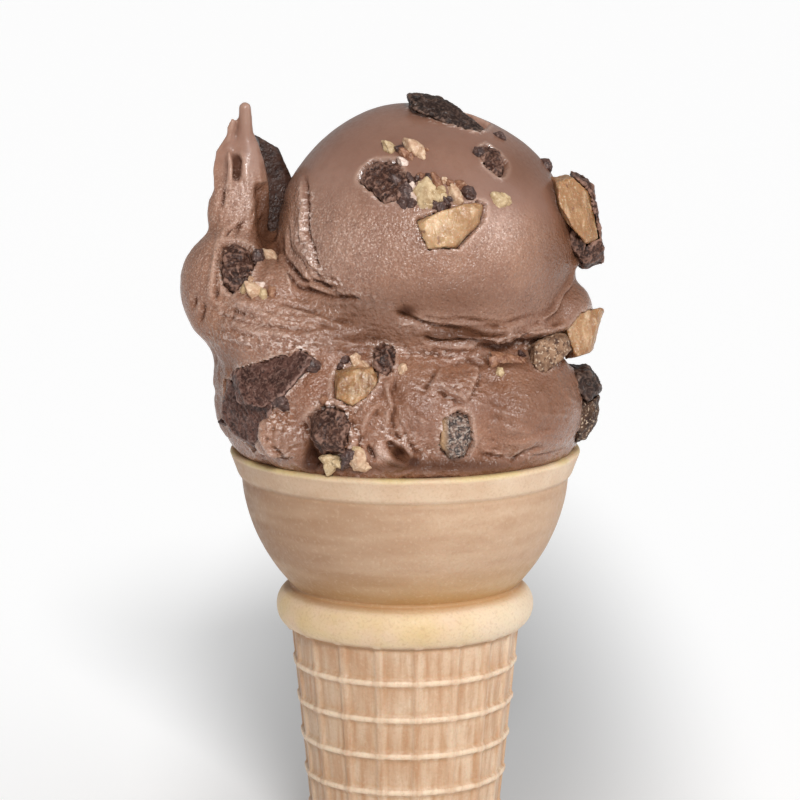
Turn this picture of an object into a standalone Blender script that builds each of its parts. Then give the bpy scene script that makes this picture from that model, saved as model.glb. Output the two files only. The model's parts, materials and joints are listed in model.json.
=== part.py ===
"""Frozen custard in a flat-bottomed wafer cup: two scoops full of chocolate and toffee pieces.

The origin is the centre of the cup's foot, +Z is up and the shown side faces -Y.
Forms on a scoop are placed as they are seen from ten degrees above that side: across is
millimetres from the cup's axis and up is millimetres above the middle of the rim.
"""

import math
import random

import bmesh
import bpy
import numpy as np
from mathutils import Euler, Matrix, Vector, noise
from mathutils.bvhtree import BVHTree

MM = 0.001

# Wafer cup, in millimetres
CUP_HEIGHT = 85.0
RIM_RADIUS = 35.0
RIM_BAND_HEIGHT = 5.2
RIM_BAND_FLARE = 1.9
RIM_EDGE = 0.7
WALL = 2.2
BOWL_RADIUS = 32.8
BOWL_TOP = 79.8
BOWL_CENTRE = 81.0
BOWL_DEPTH = 34.0
BOWL_POWER = 1.9
WAIST = 57.0
COLLAR_CENTRE = 52.9
COLLAR_CORE_RADIUS = 21.9
COLLAR_BULGE = 4.0
COLLAR_HALF_HEIGHT = 4.4
STEM_TOP = 48.9
STEM_TOP_RADIUS = 22.5
STEM_TAPER = 0.098
RING_RIB_TOP = 41.5
RING_RIB_SPACING = 7.6
RING_RIB_COUNT = 5
RING_RIB_WIDTH = 2.4
RING_RIB_HEIGHT = 0.7
UPRIGHT_RIB_COUNT = 18
UPRIGHT_RIB_TURN = math.radians(-3.4)
UPRIGHT_RIB_WIDTH = 1.7
UPRIGHT_RIB_HEIGHT = 0.5
UPRIGHT_RIB_DEPTH = 1.6
UPRIGHT_RIB_CREST = 0.75
UPRIGHT_RIB_INTO_COLLAR = 0.7
UPRIGHT_RIB_INTO_FOOT = 1.2
FOOT_BAND_HEIGHT = 3.4
FOOT_BAND_PROUD = 0.5
FOOT_EDGE = 0.7
FLOOR = 3.0
TURN_STEPS = 36
TURN_MERGE = 0.00005

# Fit between pieces, in millimetres
GAP = 0.3
SEAM_GAP = 0.35
SOCKET_GAP = 0.4
CUSTARD_FOOT = CUP_HEIGHT + 0.35
SLIVER = 0.12
PLUG_MERGE = 0.0001
BLOCK_REACH = 70.0
SEAM_REACH = 70.0
SEAM_CELL = 10.0
SEAM_BELOW = -20.0
SEAM_ABOVE = 240.0

# Custard, in millimetres
VOXEL = 0.9
SMOOTHING = 6
SKIN_TRIANGLES = 3050
MERGE_SMOOTHING = 45
SWELL = 0.35
SWELL_SIZE = 11.0
PLUG_TOP = 86.6

# How the sides are looked at
FRONT, BACK = -1, 1
VIEW_TILT = math.radians(10)
VIEW_DISTANCE = 700.0
VIEW_AIM = Vector((-1.0, 0.0, 94.3))
VIEW_ZERO = Vector((0.0, 0.0, CUP_HEIGHT))


def clear_scene():
    for thing in list(bpy.data.objects):
        bpy.data.objects.remove(thing)


def new_collection(name, parent=None):
    group = bpy.data.collections.new(name)
    (parent or bpy.context.scene.collection).children.link(group)
    return group


def plain_material(name, colour, roughness):
    material = bpy.data.materials.new(name)
    material.use_nodes = True
    shader = material.node_tree.nodes["Principled BSDF"]
    shader.inputs["Base Color"].default_value = (*colour, 1.0)
    shader.inputs["Roughness"].default_value = roughness
    shader.inputs["Metallic"].default_value = 0.0
    return material


def object_from_bmesh(name, bm, group, material=None):
    mesh = bpy.data.meshes.new(name)
    bm.to_mesh(mesh)
    bm.free()
    return object_from_mesh(name, mesh, group, material)


def object_from_mesh(name, mesh, group, material=None):
    made = bpy.data.objects.new(name, mesh)
    group.objects.link(made)
    if material:
        mesh.materials.clear()
        mesh.materials.append(material)
    return made


def evaluated_mesh(source):
    bpy.context.view_layer.update()
    graph = bpy.context.evaluated_depsgraph_get()
    return bpy.data.meshes.new_from_object(source.evaluated_get(graph))


def as_cutter(thing):
    thing.hide_render = True
    thing.display_type = "WIRE"
    return thing


# Wafer cup


def bowl_radius(z):
    """Outer radius of the bowl at height z."""
    depth = (BOWL_CENTRE - z) / BOWL_DEPTH
    return BOWL_RADIUS * (1 - abs(depth) ** BOWL_POWER) ** (1 / BOWL_POWER)


def stem_radius(z):
    return STEM_TOP_RADIUS - (STEM_TOP - z) * STEM_TAPER


def rim_outline():
    """Flared band round the mouth, from the inner edge over the top and down to the bowl."""
    inner = RIM_RADIUS - WALL
    return [
        (inner, CUP_HEIGHT - RIM_EDGE),
        (inner + RIM_EDGE, CUP_HEIGHT),
        (RIM_RADIUS - RIM_EDGE, CUP_HEIGHT),
        (RIM_RADIUS, CUP_HEIGHT - RIM_EDGE),
        (RIM_RADIUS - RIM_BAND_FLARE, CUP_HEIGHT - RIM_BAND_HEIGHT + RIM_EDGE),
    ]


def bowl_outline(steps=5):
    heights = [BOWL_TOP + (WAIST - BOWL_TOP) * i / steps for i in range(steps + 1)]
    return [(bowl_radius(z), z) for z in heights[:-1]]


def collar_outline(steps=5):
    """Rounded ring under the bowl."""
    first, last = math.radians(60), math.radians(-75)
    turns = [first + (last - first) * i / steps for i in range(steps + 1)]
    return [
        (
            COLLAR_CORE_RADIUS + COLLAR_BULGE * math.cos(t),
            COLLAR_CENTRE + COLLAR_HALF_HEIGHT * math.sin(t),
        )
        for t in turns
    ]


def stem_outline():
    """Tapered stem with raised rings, then the band of the foot and the flat underside."""
    points = []
    for i in range(RING_RIB_COUNT):
        z = RING_RIB_TOP - i * RING_RIB_SPACING
        half = RING_RIB_WIDTH / 2
        points.append((stem_radius(z + half), z + half))
        points.append((stem_radius(z) + RING_RIB_HEIGHT, z))
        points.append((stem_radius(z - half), z - half))
    foot = stem_radius(0) + FOOT_BAND_PROUD
    points.append((stem_radius(FOOT_BAND_HEIGHT), FOOT_BAND_HEIGHT + FOOT_BAND_PROUD))
    points.append((foot + FOOT_BAND_PROUD / 2, FOOT_BAND_HEIGHT))
    points.append((foot, FOOT_EDGE))
    points.append((foot - FOOT_EDGE, 0.0))
    points.append((0.0, 0.0))
    return points


def cavity_outline(clearance=0.0, steps=3):
    """Inside of the cup, from the centre of its floor up to the mouth."""
    points = [(0.0, FLOOR + clearance)]
    points.append((stem_radius(FLOOR) - WALL - clearance, FLOOR + clearance))
    points.append((stem_radius(STEM_TOP) - WALL - clearance, STEM_TOP))
    points.append((bowl_radius(WAIST) - WALL - clearance, WAIST + 1.0))
    for i in range(1, steps + 1):
        z = WAIST + (BOWL_TOP - WAIST) * i / steps
        points.append((bowl_radius(z) - WALL - clearance, z + 1.0 - i / steps))
    return points


def turned_solid(name, outline, group, material=None, scale=MM):
    """Turns an outline of (radius, height) in millimetres about the Z axis."""
    bm = bmesh.new()
    verts = [bm.verts.new((r * scale, 0, z * scale)) for r, z in outline]
    for a, b in zip(verts, verts[1:]):
        bm.edges.new((a, b))
    made = object_from_bmesh(name, bm, group, material)
    screw = made.modifiers.new("turn", "SCREW")
    screw.steps = screw.render_steps = TURN_STEPS
    screw.use_merge_vertices = True
    screw.merge_threshold = TURN_MERGE
    return made


def upright_rib(index, group):
    """One rib up the stem, as a slim box that leans with the taper."""
    top, bottom = STEM_TOP + UPRIGHT_RIB_INTO_COLLAR, FOOT_BAND_HEIGHT - UPRIGHT_RIB_INTO_FOOT
    bm = bmesh.new()
    bmesh.ops.create_cube(bm, size=1.0)
    for v in bm.verts:
        z = top if v.co.z > 0 else bottom
        outer = stem_radius(z) + UPRIGHT_RIB_HEIGHT
        depth = outer if v.co.x > 0 else outer - UPRIGHT_RIB_DEPTH
        narrow = UPRIGHT_RIB_CREST if v.co.x > 0 else 1.0
        v.co = Vector((depth, v.co.y * UPRIGHT_RIB_WIDTH * narrow, z)) * MM
    made = as_cutter(object_from_bmesh(f"upright_rib_{index:02d}", bm, group))
    made.rotation_euler.z = UPRIGHT_RIB_TURN + math.tau * index / UPRIGHT_RIB_COUNT
    return made


def make_cup(group, helpers, material):
    outline = cavity_outline() + rim_outline() + bowl_outline()
    outline += collar_outline() + stem_outline()
    cup = turned_solid("wafer_cup", outline, group, material)
    cup.rotation_euler.z = UPRIGHT_RIB_TURN
    ribs = new_collection("upright_ribs", helpers)
    for i in range(UPRIGHT_RIB_COUNT):
        upright_rib(i, ribs)
    union = cup.modifiers.new("ribs", "BOOLEAN")
    union.operation = "UNION"
    union.operand_type = "COLLECTION"
    union.collection = ribs
    return cup


# Views onto the scoops


def view_axes(side):
    """Across, up and inward directions of the view onto one side, and where it is seen from."""
    across = Vector((-side, 0, 0))
    up = Vector((0, -side * math.sin(VIEW_TILT), math.cos(VIEW_TILT)))
    inward = Vector((0, -side * math.cos(VIEW_TILT), -math.sin(VIEW_TILT)))
    return across, up, inward, VIEW_AIM - inward * VIEW_DISTANCE


def seen_on(tree, across, up, side):
    """Point and normal of the skin where it is seen at (across, up)."""
    right, high, inward, eye = view_axes(side)
    aim = VIEW_ZERO + right * across + high * up
    point, normal, _, _ = tree.ray_cast(eye, (aim - eye).normalized())
    return point, normal


def seen_from(places, side):
    """Across and up of many points, as arrays."""
    right, high, inward, eye = (np.array(v) for v in view_axes(side))
    away = places - eye
    shrink = ((np.array(VIEW_ZERO) - eye) @ inward) / (away @ inward)
    start = np.array(VIEW_ZERO) - eye
    return (away @ right) * shrink - start @ right, (away @ high) * shrink - start @ high


def skin_tree(mesh):
    mesh.calc_loop_triangles()
    places = [v.co.copy() for v in mesh.vertices]
    return BVHTree.FromPolygons(places, [tuple(t.vertices) for t in mesh.loop_triangles])


# Soft forms of the custard, in millimetres and degrees

LUMPS = {
    "ball": dict(centre=(4.0, 0.0, 123.6), radii=(30.0, 29.5, 29.4)),
    "ball_top_left": dict(centre=(0.8, 0.0, 124.8), radii=(26.5, 27.0, 29.0)),
    "left_lobe": dict(centre=(-33.0, -4.0, 117.2), radii=(11.6, 13.0, 13.0)),
    "lobe_hollow": dict(centre=(-26.0, -9.0, 114.0), radii=(12.0, 12.5, 11.0)),
    "front_skirt": dict(centre=(-17.0, -10.5, 108.0), radii=(21.5, 15.8, 10.5), tilt=(0, 6, 10)),
    "left_skirt": dict(centre=(-27.0, 3.0, 107.0), radii=(12.6, 16.0, 10.0)),
    "lobe_back": dict(centre=(-23.0, 11.0, 115.0), radii=(14.0, 13.0, 14.0)),
    "right_bulge": dict(centre=(31.5, -3.5, 113.6), radii=(5.6, 9.0, 5.2), tilt=(0, -20, 0)),
    "seam_fold": dict(centre=(9.0, -4.0, 110.4), radii=(25.5, 22.5, 3.6), tilt=(0, -3, 0)),
    "back_fold": dict(centre=(10.0, 16.0, 109.5), radii=(20.0, 14.0, 8.0), tilt=(0, -6, -10)),
    "dome": dict(centre=(-1.6, 0.0, 94.5), radii=(36.4, 34.8, 19.5)),
    "rim_roll": dict(centre=(-0.2, -0.1, 86.6), radii=(35.0, 34.2, 7.5)),
    "left_shoulder": dict(centre=(-22.6, -4.0, 99.5), radii=(15.4, 22.0, 11.0)),
    "left_front": dict(centre=(-14.0, -10.0, 98.5), radii=(20.0, 20.6, 11.5)),
    "right_cheek": dict(centre=(20.0, -8.0, 95.0), radii=(15.0, 22.5, 13.5)),
    "coated_lump": dict(centre=(-22.6, -25.5, 91.4), radii=(5.6, 5.2, 6.2)),
    "socket_ring": dict(centre=(-14.2, -29.4, 92.0), radii=(5.4, 5.0, 6.4)),
    "front_lump": dict(centre=(-8.6, -31.2, 90.6), radii=(3.2, 3.2, 5.2)),
    "curl": dict(centre=(-2.6, -31.4, 88.6), radii=(6.0, 3.8, 3.0), tilt=(0, 38, 0)),
    "buried_piece": dict(centre=(19.0, -20.4, 104.2), radii=(5.2, 4.6, 2.6), tilt=(0, 6, 0)),
    "back_left_lump": dict(centre=(-20.0, 24.0, 92.0), radii=(10.0, 9.0, 8.0)),
    "back_right_lump": dict(centre=(22.0, 22.5, 93.0), radii=(9.0, 8.0, 8.0)),
}
EAR_SPINE = [(-33, -2.6, 132), (-31.8, -2.4, 137.3), (-31.2, -2.2, 141.4)]
EAR_SPINE += [(-31, -2, 145.4), (-31.8, -1.8, 149.5), (-31.6, -1.6, 152.6)]
EAR_RADII = [6.6, 5.2, 4.0, 2.6, 1.8, 1.4]
EAR_FLAP = [(-34, -1.8, 147.7), (-35.6, -2.2, 145.6), (-36, -2.5, 143), (-36, -2.6, 140.6)]
EAR_FLAP += [(-35.6, -2.6, 138)]
EAR_FLAP_RADII = [1.2, 1.5, 1.6, 1.6, 1.7]
EAR_NUB = [(-33.6, -2.6, 150.4), (-33.4, -2.4, 148.4)]
EAR_NUB_RADII = [0.9, 1.2]
LOWER_FLAP = [(-36.6, -2.8, 137.4), (-36.8, -3, 135.2), (-36.6, -3, 133), (-35.8, -3, 131.4)]
LOWER_FLAP_RADII = [1.0, 1.0, 1.1, 1.4]
# A strand's lumps lie this share of their radius, and this many millimetres, apart
STRAND_PITCH = 0.25
STRAND_STEP = 0.2

# Where the upper scoop meets the lower one, as (across, up) on the front and on the back
FRONT_SEAM = [(-44, 15), (-30, 17), (-20, 19.2), (-8, 21), (3, 21.6), (15.4, 19.4), (24.6, 20.6), (44, 27.5)]
BACK_SEAM = [(-44, 27.5), (-30, 24), (-16, 22), (2, 20.4), (14, 19.6), (30, 17), (44, 15)]
# Left of this the scoops run into each other without a crease
MERGED_TO = -1.0
MERGED_FADE = 8.0
MERGED_LEAST = 0.02
MERGED_BAND = (21.0, 9.0)

# Creases (sunk) and ridges (raised), each a line of (across, up) with its depth and half width
LOBE_FOLD = [(-31.8, 46.2), (-35.5, 43), (-37.6, 39.8), (-38.3, 32.4), (-38, 27.8)]
LOBE_FOLD_FOOT = [(-31, 45), (-34.4, 42), (-36.2, 39), (-36.8, 32.4), (-36.6, 28.6)]
FRONT_CREASES = {
    "lip_upper": dict(line=[(-20.6, 55.4), (-20.8, 46), (-20.4, 42), (-19, 36.6)], rise=-1.3, half=0.8),
    "lip_lower": dict(line=[(-19, 36.6), (-16, 32), (-12, 27.4)], rise=-0.8, half=0.8),
    "lip_ridge": dict(line=[(-22.4, 52), (-22.6, 44), (-21.6, 38), (-18.4, 32)], rise=0.7, half=1.1),
    "ball_under": dict(line=[(-2.4, 26.8), (7.2, 24), (16.4, 22.8), (23, 22)], rise=-1.5, half=0.9),
    "ball_under_end": dict(line=[(23, 22), (28, 23.4), (32, 26)], rise=-1.0, half=0.8),
    "lobe_fold": dict(line=LOBE_FOLD, rise=0.8, half=0.8),
    "lobe_fold_foot": dict(line=LOBE_FOLD_FOOT, rise=-0.8, half=0.8),
    "drag_outer": dict(line=[(-26, 38), (-23, 32.2), (-19, 29.2), (-13, 29)], rise=-0.8, half=0.8),
    "drag_inner": dict(line=[(-23.6, 36.8), (-20, 34), (-16.4, 31.6)], rise=-0.8, half=0.7),
    "lobe_nick": dict(line=[(-41.6, 30.6), (-42, 26.6)], rise=-1.0, half=0.8),
    "lobe_nick_low": dict(line=[(-39.6, 29), (-40.6, 24)], rise=-0.8, half=0.8),
    "right_ridge": dict(line=[(34, 40), (33, 33), (30.4, 28), (27.4, 24.6)], rise=0.7, half=0.9),
    "ear_slit": dict(line=[(-33.6, 58.4), (-33.8, 53)], rise=-1.4, half=0.7),
    "seam": dict(line=[(3, 21.6), (15.4, 19.4), (24.6, 20.6), (29, 23.4)], rise=-1.6, half=1.0),
    "fold_edge": dict(line=[(6.6, 15.2), (3.6, 11.4), (8, 10.4), (13, 8.6)], rise=0.9, half=0.8),
    "fold_foot": dict(line=[(3.8, 9.6), (8.4, 9), (13, 7.2)], rise=-0.9, half=0.8),
    "fold_right": dict(line=[(14.4, 13.4), (12.4, 9.2)], rise=0.6, half=0.8),
    "long_drag": dict(line=[(-2.4, 13.2), (-3, 6), (-2.4, 1)], rise=0.6, half=0.9),
    "low_drag": dict(line=[(-1, 5), (3, 3), (6, 0)], rise=-0.8, half=1.0),
    "curl_slit": dict(line=[(-3.6, 0.6), (-1.6, -1.4), (0, -3)], rise=-1.6, half=0.8),
    "rim_ridge": dict(line=[(15, -1.2), (21, -1.2)], rise=0.6, half=0.6),
    "lump_valley": dict(line=[(-18.6, 4), (-19.4, 0), (-19, -4)], rise=-1.2, half=0.9),
}
BACK_CREASES = {
    "back_lip": dict(line=[(18, 54), (21.6, 46), (21, 37), (17, 30)], rise=-1.2, half=0.9),
    "back_under": dict(line=[(-26, 25), (-12, 23), (4, 23.6), (16, 27)], rise=-1.4, half=1.0),
    "back_fold": dict(line=[(-22, 46), (-14, 41), (-4, 39.4)], rise=-0.8, half=1.0),
    "back_drag": dict(line=[(24, 33), (29, 27), (36, 25)], rise=-0.9, half=0.9),
    "back_ridge": dict(line=[(23, 36), (28.6, 29.4), (36, 27.6)], rise=0.7, half=1.0),
    "back_seam": dict(line=[(-30, 24), (-16, 22), (2, 20.4), (14, 19.6)], rise=-1.5, half=1.0),
    "back_edge": dict(line=[(-12, 12), (-4, 9.4), (5, 10.6)], rise=0.9, half=0.9),
    "back_foot": dict(line=[(-11, 10), (-3, 7.4), (5, 8.8)], rise=-0.9, half=0.9),
    "back_long": dict(line=[(16, 12), (17.6, 5), (16.6, -1)], rise=-0.9, half=0.9),
}


def lump(bm, centre, radii, tilt=(0, 0, 0), detail=4):
    """Adds one ellipsoid."""
    turn = Euler([math.radians(a) for a in tilt]).to_matrix().to_4x4()
    shape = Matrix.Diagonal((*radii, 1.0))
    place = Matrix.Translation(Vector(centre))
    bmesh.ops.create_icosphere(bm, subdivisions=detail, radius=1.0, matrix=place @ turn @ shape)


def strand(bm, points, radii, flat=0.7):
    """Adds a tapering strand along points, as overlapping ellipsoids."""
    for a, b, ra, rb in zip(points, points[1:], radii, radii[1:]):
        a, b = Vector(a), Vector(b)
        steps = max(1, int((b - a).length / (min(ra, rb) * STRAND_PITCH + STRAND_STEP)))
        for i in range(steps + 1):
            t = i / steps
            r = ra + (rb - ra) * t
            lump(bm, a.lerp(b, t), (r, r * flat, r), detail=2)


def custard_forms():
    bm = bmesh.new()
    for form in LUMPS.values():
        lump(bm, **form)
    strand(bm, EAR_SPINE, EAR_RADII)
    strand(bm, EAR_FLAP, EAR_FLAP_RADII, flat=1.2)
    strand(bm, EAR_NUB, EAR_NUB_RADII)
    strand(bm, LOWER_FLAP, LOWER_FLAP_RADII, flat=1.4)
    return bm


def softened_remesh(name, mesh, group, iterations):
    """Fuses overlapping lumps into one soft skin, softest where the scoops run together."""
    rough = object_from_mesh(name, mesh, group)
    remesh = rough.modifiers.new("fuse", "REMESH")
    remesh.mode = "VOXEL"
    remesh.voxel_size = VOXEL
    soften = rough.modifiers.new("soften", "SMOOTH")
    soften.factor = 0.5
    soften.iterations = iterations
    fused = evaluated_mesh(rough)
    bpy.data.objects.remove(rough)
    rough = object_from_mesh(name, fused, group)
    merged = rough.vertex_groups.new(name="merged")
    places, normals = vertex_arrays(fused)
    x, y = seen_from(places, FRONT)
    middle, reach = MERGED_BAND
    weights = np.clip((MERGED_TO - x) / MERGED_FADE, 0, 1) * np.exp(-(((y - middle) / reach) ** 2))
    weights *= np.clip(-normals[:, 1] * 3 + 1, 0, 1)
    for index, weight in enumerate(weights):
        if weight > MERGED_LEAST:
            merged.add([index], float(weight), "REPLACE")
    merge = rough.modifiers.new("merge", "SMOOTH")
    merge.factor = 0.5
    merge.iterations = MERGE_SMOOTHING
    merge.vertex_group = "merged"
    mesh = evaluated_mesh(rough)
    bpy.data.objects.remove(rough)
    return mesh


def custard_skin(group):
    bm = custard_forms()
    mesh = bpy.data.meshes.new("custard_lumps")
    bm.to_mesh(mesh)
    bm.free()
    skin = softened_remesh("custard", mesh, group, SMOOTHING)
    pressed(skin, FRONT_CREASES, FRONT)
    pressed(skin, BACK_CREASES, BACK)
    swollen(skin)
    return skin


def line_distance(x, y, line):
    """Distance of many points from a line of (across, up)."""
    nearest = np.full(len(x), np.inf)
    for (ax, ay), (bx, by) in zip(line, line[1:]):
        dx, dy = bx - ax, by - ay
        t = np.clip(((x - ax) * dx + (y - ay) * dy) / (dx * dx + dy * dy), 0, 1)
        nearest = np.minimum(nearest, np.hypot(x - ax - t * dx, y - ay - t * dy))
    return nearest


def vertex_arrays(mesh):
    count = len(mesh.vertices)
    places = np.empty(count * 3)
    normals = np.empty(count * 3)
    mesh.vertices.foreach_get("co", places)
    mesh.vertex_normals.foreach_get("vector", normals)
    return places.reshape(-1, 3), normals.reshape(-1, 3)


def pressed(mesh, creases, side):
    """Sinks creases and raises ridges in the side of the skin that faces the view."""
    places, normals = vertex_arrays(mesh)
    x, y = seen_from(places, side)
    inward = np.array(view_axes(side)[2])
    facing = np.clip(-(normals @ inward) * 4, 0, 1)
    push = np.zeros(len(places))
    for crease in creases.values():
        away = line_distance(x, y, crease["line"]) / crease["half"]
        push += crease["rise"] * np.exp(-away * away)
    places += normals * (push * facing)[:, None]
    mesh.vertices.foreach_set("co", places.ravel())
    mesh.update()


def swollen(mesh, rise=SWELL, size=SWELL_SIZE):
    """Makes the skin slightly uneven."""
    for v, n in zip(mesh.vertices, [n.vector.copy() for n in mesh.vertex_normals]):
        v.co += n * noise.noise(v.co / size) * rise
    mesh.update()


def thinned(mesh, triangles, group):
    """Keeps about this many triangles."""
    full = object_from_mesh("full", mesh, group)
    mesh.calc_loop_triangles()
    decimate = full.modifiers.new("thin", "DECIMATE")
    decimate.ratio = triangles / len(mesh.loop_triangles)
    decimate.use_collapse_triangulate = True
    made = evaluated_mesh(full)
    bpy.data.objects.remove(full)
    return made


# Broken pieces and crumbs

CHOCOLATE, TOFFEE, BISCUIT = "chocolate", "toffee", "biscuit"

TOP_SHARD = [(0.4, 70.2), (1.8, 70.8), (7, 70.4), (10.2, 68), (15.6, 63.2), (13.4, 62.4), (6, 65.4), (1, 68)]
TOP_RIGHT_CHIP = [(14.8, 59.2), (16.4, 60.4), (18.4, 59.2), (19.8, 56.2), (18.8, 53.4), (16.6, 54.4)]
FRONT_CLUSTER = [(-7.4, 56), (-6, 57.2), (-1.4, 56.6), (0.4, 53.2), (-0.4, 49.4), (-4.2, 48.6), (-8.2, 53)]
FRONT_TOFFEE = [(2.2, 45.4), (7, 46.8), (11.4, 49.2), (15, 48.6), (14.2, 44.6), (10, 40), (4.6, 39.6)]
RIGHT_TOFFEE = [(30.2, 53), (34, 53.6), (36.6, 51.2), (38, 42.2), (36, 41), (33, 44.4), (30.6, 48.2)]
RIGHT_BACKING = [(34, 54), (37.8, 52.2), (39.8, 41.2), (39, 37.6), (36, 36.6), (33, 40.2)]
SEAM_TOFFEE = [(31.4, 24.8), (34, 26.6), (38, 27.4), (38.4, 24.2), (37, 18.8), (34, 17.8)]
SEAM_BISCUIT = [(25.8, 20.2), (28, 21.6), (32.6, 21.4), (33.4, 18.8), (30, 16.2), (27, 13.8), (25.4, 16.8)]
SIDE_CHOCOLATE = [(34.4, 14.6), (37, 14.8), (38.6, 12.4), (38.4, 10), (36.6, 8.8), (34.6, 10.8)]
SIDE_BISCUIT = [(35, 9), (38.2, 9.8), (37.8, 4.2), (36.2, 1.8), (34.6, 1.4), (34.4, 6.2)]
BIG_UPPER = [(-35.2, 14.6), (-28.6, 17), (-20.6, 19.2), (-18.6, 17.8), (-20, 14.6), (-24.2, 10)]
BIG_UPPER += [(-28.6, 7.6), (-33.6, 9)]
BIG_LOWER = [(-35.6, 13.2), (-27.8, 9.6), (-25.4, 8.2), (-27.2, 3.8), (-29, -0.8), (-33, 1.6), (-36.8, 7)]
MIDDLE_CHIP = [(-6.2, 19.6), (-5, 20.4), (-3, 19.6), (-2, 16.8), (-2.6, 14), (-4, 13), (-6.2, 15.6)]
MIDDLE_TOFFEE = [(-13.4, 14.4), (-10.6, 15), (-6.6, 15.2), (-5.6, 12.6), (-7.8, 9.8), (-10.6, 8)]
MIDDLE_TOFFEE += [(-13.6, 9.6)]
RIM_CHOCOLATE = [(-17.6, 5.6), (-15.4, 7.2), (-12.4, 6.4), (-11.2, 4.2), (-12.4, -1), (-15.4, -0.6)]
RIM_CHOCOLATE += [(-17.6, 2)]
FROSTY_CHOCOLATE = [(7.6, 5.2), (10, 6.2), (12.6, 5.2), (13.2, 1.2), (12.2, -1.6), (9, -2.2), (7, 0.2)]
LOBE_UPPER = [(-36.2, 38.8), (-33.8, 39.8), (-31.6, 38.4), (-31.2, 35.4), (-35.8, 35)]
LOBE_LOWER = [(-36.8, 35.8), (-31.2, 36), (-30.8, 33.2), (-33.6, 30.6), (-36.2, 33.2)]
EAR_SLAB = [(-29.4, 62), (-27, 60.6), (-24.8, 58.2), (-22.6, 53.4), (-23.4, 46), (-25.6, 38), (-28.8, 46)]

# Each piece: what it is, and its parts as an outline with how it lies
SHOWN_PIECES = {
    "top_chocolate_shard": (CHOCOLATE, [(TOP_SHARD, dict(at=-9, deep=8, yaw=12, pitch=36))]),
    "top_right_chip": (CHOCOLATE, [(TOP_RIGHT_CHIP, dict(proud=0.7, deep=3.6, yaw=18, pitch=24))]),
    "front_chocolate": (CHOCOLATE, [(FRONT_CLUSTER, dict(proud=1.0, deep=5, yaw=-8, pitch=26))]),
    "front_toffee": (TOFFEE, [(FRONT_TOFFEE, dict(proud=1.8, deep=6, yaw=4, pitch=4))]),
    "right_toffee": (TOFFEE, [(RIGHT_TOFFEE, dict(at=-10.5, deep=6, yaw=38, pitch=10))]),
    "right_chocolate": (CHOCOLATE, [(RIGHT_BACKING, dict(at=-7.5, deep=10, yaw=30, pitch=-6))]),
    "seam_toffee": (TOFFEE, [(SEAM_TOFFEE, dict(at=-10.5, deep=9, yaw=24, pitch=6))]),
    "seam_biscuit": (BISCUIT, [(SEAM_BISCUIT, dict(at=-20.5, deep=7, yaw=26, pitch=-6))]),
    "side_chocolate": (CHOCOLATE, [(SIDE_CHOCOLATE, dict(at=-11, deep=9, yaw=30, pitch=8))]),
    "side_biscuit": (BISCUIT, [(SIDE_BISCUIT, dict(at=-11.5, deep=8, yaw=34, pitch=-4))]),
    "big_chocolate": (
        CHOCOLATE,
        [
            (BIG_UPPER, dict(proud=1.5, deep=7, yaw=-30, pitch=14)),
            (BIG_LOWER, dict(proud=1.4, deep=7, yaw=-48, pitch=-10)),
        ],
    ),
    "middle_chip": (CHOCOLATE, [(MIDDLE_CHIP, dict(proud=1.2, deep=4, yaw=6, pitch=20))]),
    "middle_toffee": (TOFFEE, [(MIDDLE_TOFFEE, dict(proud=1.4, deep=5, yaw=-4, pitch=12))]),
    "rim_chocolate": (CHOCOLATE, [(RIM_CHOCOLATE, dict(proud=1.3, deep=6, yaw=-14, pitch=0))]),
    "frosty_chocolate": (BISCUIT, [(FROSTY_CHOCOLATE, dict(proud=0.6, deep=5, yaw=16, pitch=0))]),
    "lobe_chocolate": (
        CHOCOLATE,
        [
            (LOBE_UPPER, dict(proud=0.7, deep=4.5, yaw=6, pitch=24)),
            (LOBE_LOWER, dict(proud=0.9, deep=4.5, yaw=8, pitch=6)),
        ],
    ),
    "ear_chocolate_slab": (CHOCOLATE, [(EAR_SLAB, dict(at=1.2, deep=7, yaw=14, pitch=0))]),
}
# The unseen side: kind, across, up, width, height, turn in degrees
BACK_PIECES = {
    "back_top_chocolate": (CHOCOLATE, -8, 52, 11, 8, 20),
    "back_toffee": (TOFFEE, 11, 44, 9, 10, -25),
    "back_left_chip": (CHOCOLATE, -24, 36, 6, 8, 35),
    "back_lobe_toffee": (TOFFEE, 31, 32, 7, 6, 15),
    "back_seam_chocolate": (CHOCOLATE, 6, 14, 13, 9, -12),
    "back_low_toffee": (TOFFEE, -17, 10, 8, 8, 30),
    "back_low_chocolate": (CHOCOLATE, 25, 7, 9, 10, 10),
    "back_rim_biscuit": (BISCUIT, -3, 3, 7, 7, -30),
}
PALE, DARK, BROWN = "pale", "dark", "brown"
# Crumbs on the shown side by kind: across, up, radius
SHOWN_CRUMBS = {
    PALE: [(-2.8, 60, 1.0), (2.4, 59.4, 1.6), (-0.2, 57, 0.9), (1.6, 51.4, 1.2), (4, 50.6, 1.5)],
    DARK: [(2, 54, 1.6), (8.2, 52.8, 1.4), (12.4, 51.6, 1.5), (16.2, 63.4, 1.8), (28.2, 56.2, 1.5)],
    BROWN: [(-0.6, 59, 0.8), (-28.6, 32.8, 1.3), (5.6, 53.6, 1.0), (10.6, 53, 0.9), (-25, 8.4, 1.5)],
}
SHOWN_CRUMBS[PALE] += [(6.8, 49.8, 1.4), (6, 53.4, 1.0), (9.8, 50.9, 1.3), (19.4, 49.2, 1.7)]
SHOWN_CRUMBS[PALE] += [(-31, 36.9, 0.9), (-27.4, 38, 1.6), (-31.8, 31.6, 1.2), (-30, 31.2, 1.7)]
SHOWN_CRUMBS[PALE] += [(-8.6, 16.2, 1.3), (-0.4, 15, 1.2), (-14.9, -3, 1.4), (-9.4, -3.1, 1.4)]
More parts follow.
